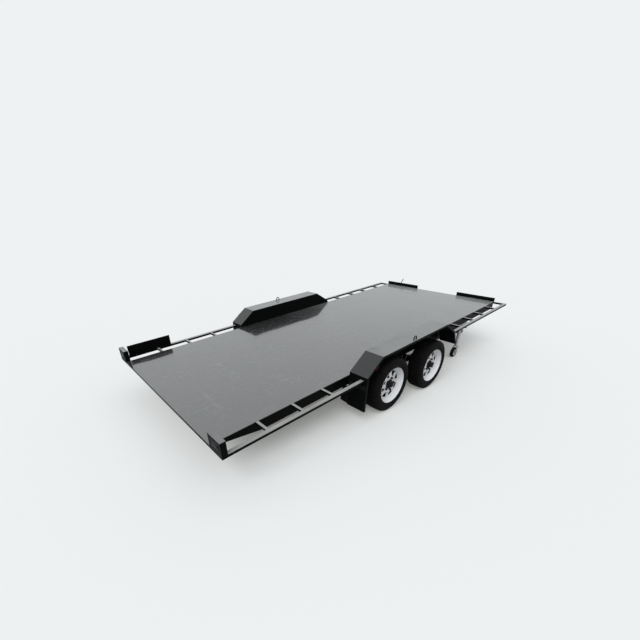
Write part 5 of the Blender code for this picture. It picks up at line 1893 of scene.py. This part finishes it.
@dataclass
class PhotoCamera:
    """A camera at the photograph's place, with the photograph's framing."""

    place: tuple[float, float, float] = (-3.9005, -2.7288, 1.8181)
    azimuth: float = 48.7589
    pitch: float = 26.7172
    roll: float = 0.9822
    focal_pixels: float = 323.68
    centre: tuple[float, float] = (293.52, 382.26)

    def build(self) -> None:
        """Adds the camera and makes it the scene's own."""
        data = bpy.data.cameras.new("photo camera")
        camera = bpy.data.objects.new("photo camera", data)
        bpy.context.scene.collection.objects.link(camera)
        level = Matrix.Rotation((self.azimuth - 90) * DEGREE, 4, "Z")
        tilt = Matrix.Rotation((90 - self.pitch) * DEGREE, 4, "X")
        turn = Matrix.Rotation(self.roll * DEGREE, 4, "Z")
        camera.matrix_world = Matrix.Translation(self.place) @ level @ tilt @ turn
        half = PHOTO_PIXELS / 2
        data.sensor_width = SENSOR
        data.lens = SENSOR * self.focal_pixels / PHOTO_PIXELS
        data.shift_x = (half - self.centre[0]) / PHOTO_PIXELS
        data.shift_y = (self.centre[1] - half) / PHOTO_PIXELS
        data.clip_end = 200.0
        bpy.context.scene.camera = camera
        log.info("camera lens %.2f mm", data.lens)


@dataclass
class Studio:
    """A pale floor that fades into a pale surround, a soft lamp overhead and even sky light.

    The floor throws back the soft light of darker ground, so that black pieces stay black.
    """

    floor_half: float = 60.0
    floor_colour: Colour = (0.80, 0.81, 0.82)
    ground_colour: Colour = (0.20, 0.20, 0.20)
    surround: Colour = (0.86, 0.885, 0.895)
    sky: Colour = (0.93, 0.96, 1.0)
    sky_strength: float = 0.55
    lamp_place: tuple[float, float, float] = (-5.2, -1.8, 5.0)
    lamp_spread: float = 42.0
    lamp_strength: float = 1.75
    fade_start: float = 6.0
    fade_end: float = 16.0

    def build(self) -> None:
        """Adds the floor, the world and the lamp."""
        self._floor()
        self._world()
        self._lamp()
        bpy.context.scene.view_settings.view_transform = "Standard"

    def _open_level(self, channel: int) -> float:
        """How bright a white surface is out in the open, in one colour channel."""
        place = Vector(self.lamp_place)
        return self.sky_strength * self.sky[channel] + self.lamp_strength * place.z / place.length / math.pi

    def _shown(self, graph: Graph) -> tuple[Socket, Socket]:
        """Which rays are the camera's, and which show the surround: the camera's, gloss and glass.

        Args:
            graph: the material's or the world's graph.

        Returns:
            The mask of the camera's rays, and the mask of those that show the surround.
        """
        rays = graph.add("ShaderNodeLightPath")
        seen = rays.outputs["Is Camera Ray"]
        shown = graph.maths("MAXIMUM", seen, rays.outputs["Is Glossy Ray"])
        return seen, graph.maths("MAXIMUM", shown, rays.outputs["Is Transmission Ray"])

    def _floor(self) -> None:
        """The floor, which turns into the surround's own colour far from the trailer."""
        deselect_all()
        bpy.ops.mesh.primitive_plane_add(size=2 * self.floor_half)
        floor = bpy.context.active_object
        floor.name = "studio_floor"
        material = bpy.data.materials.new("studio floor")
        material.use_nodes = True
        material.node_tree.nodes.clear()
        graph = Graph(material.node_tree)
        place = graph.add("ShaderNodeTexCoord").outputs["Object"]
        distance = graph.add("ShaderNodeVectorMath", {0: place}, operation="LENGTH").outputs["Value"]
        far = graph.span(distance, self.fade_start, self.fade_end)
        seen, shown = self._shown(graph)
        colour = graph.blend(shown, self.ground_colour, self.floor_colour)
        lit = graph.add("ShaderNodeBsdfDiffuse", {"Color": colour})
        level = tuple(part * self._open_level(number) for number, part in enumerate(self.floor_colour))
        rest = tuple(max(0.0, goal - part) for goal, part in zip(self.surround, level))
        lift = graph.add("ShaderNodeEmission", {"Color": (*rest, 1.0), "Strength": seen})
        near = graph.add("ShaderNodeAddShader", {0: lit.outputs[0], 1: lift.outputs[0]})
        glow = graph.add("ShaderNodeEmission", {"Color": (*self.surround, 1.0), "Strength": 1.0})
        mixed = graph.add("ShaderNodeMixShader", {0: far, 1: near.outputs[0], 2: glow.outputs[0]})
        graph.add("ShaderNodeOutputMaterial", {"Surface": mixed.outputs[0]})
        floor.data.materials.append(material)

    def _world(self) -> None:
        """Even sky light, which eyes, gloss and glass see as the surround."""
        world = bpy.data.worlds.new("studio surround")
        world.use_nodes = True
        world.node_tree.nodes.clear()
        graph = Graph(world.node_tree)
        shown = self._shown(graph)[1]
        light = graph.add("ShaderNodeBackground", {"Color": (*self.sky, 1.0), "Strength": self.sky_strength})
        pale = graph.add("ShaderNodeBackground", {"Color": (*self.surround, 1.0), "Strength": 1.0})
        mixed = graph.add("ShaderNodeMixShader", {0: shown, 1: light.outputs[0], 2: pale.outputs[0]})
        graph.add("ShaderNodeOutputWorld", {"Surface": mixed.outputs[0]})
        bpy.context.scene.world = world

    def _lamp(self) -> None:
        """A wide soft lamp, far above and behind the trailer, whose light is even over the floor."""
        data = bpy.data.lights.new("soft lamp", "SUN")
        data.angle = self.lamp_spread * DEGREE
        data.energy = self.lamp_strength
        lamp = bpy.data.objects.new("soft lamp", data)
        bpy.context.scene.collection.objects.link(lamp)
        lamp.location = self.lamp_place
        lamp.visible_glossy = False
        lamp.rotation_euler = (-Vector(self.lamp_place)).to_track_quat("-Z", "Y").to_euler()


def main() -> None:
    """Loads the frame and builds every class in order."""
    logging.basicConfig(level=logging.INFO, format="%(message)s")
    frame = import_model()
    PhotoCamera().build()
    Studio().build()
    finishes = Finishes()
    dress_frame_nodes(frame["nodes"], finishes)
    dresser = Dresser(finishes)
    parts = (DeckSheet(), Lamps(), BedHardware(), SpringPacks(), ChassisHardware(), TiltRam(),
             BallCoupling(), JockeyWheel(), RoadWheels())
    for part in parts:
        part.build(dresser)


if __name__ == "__main__":
    main()
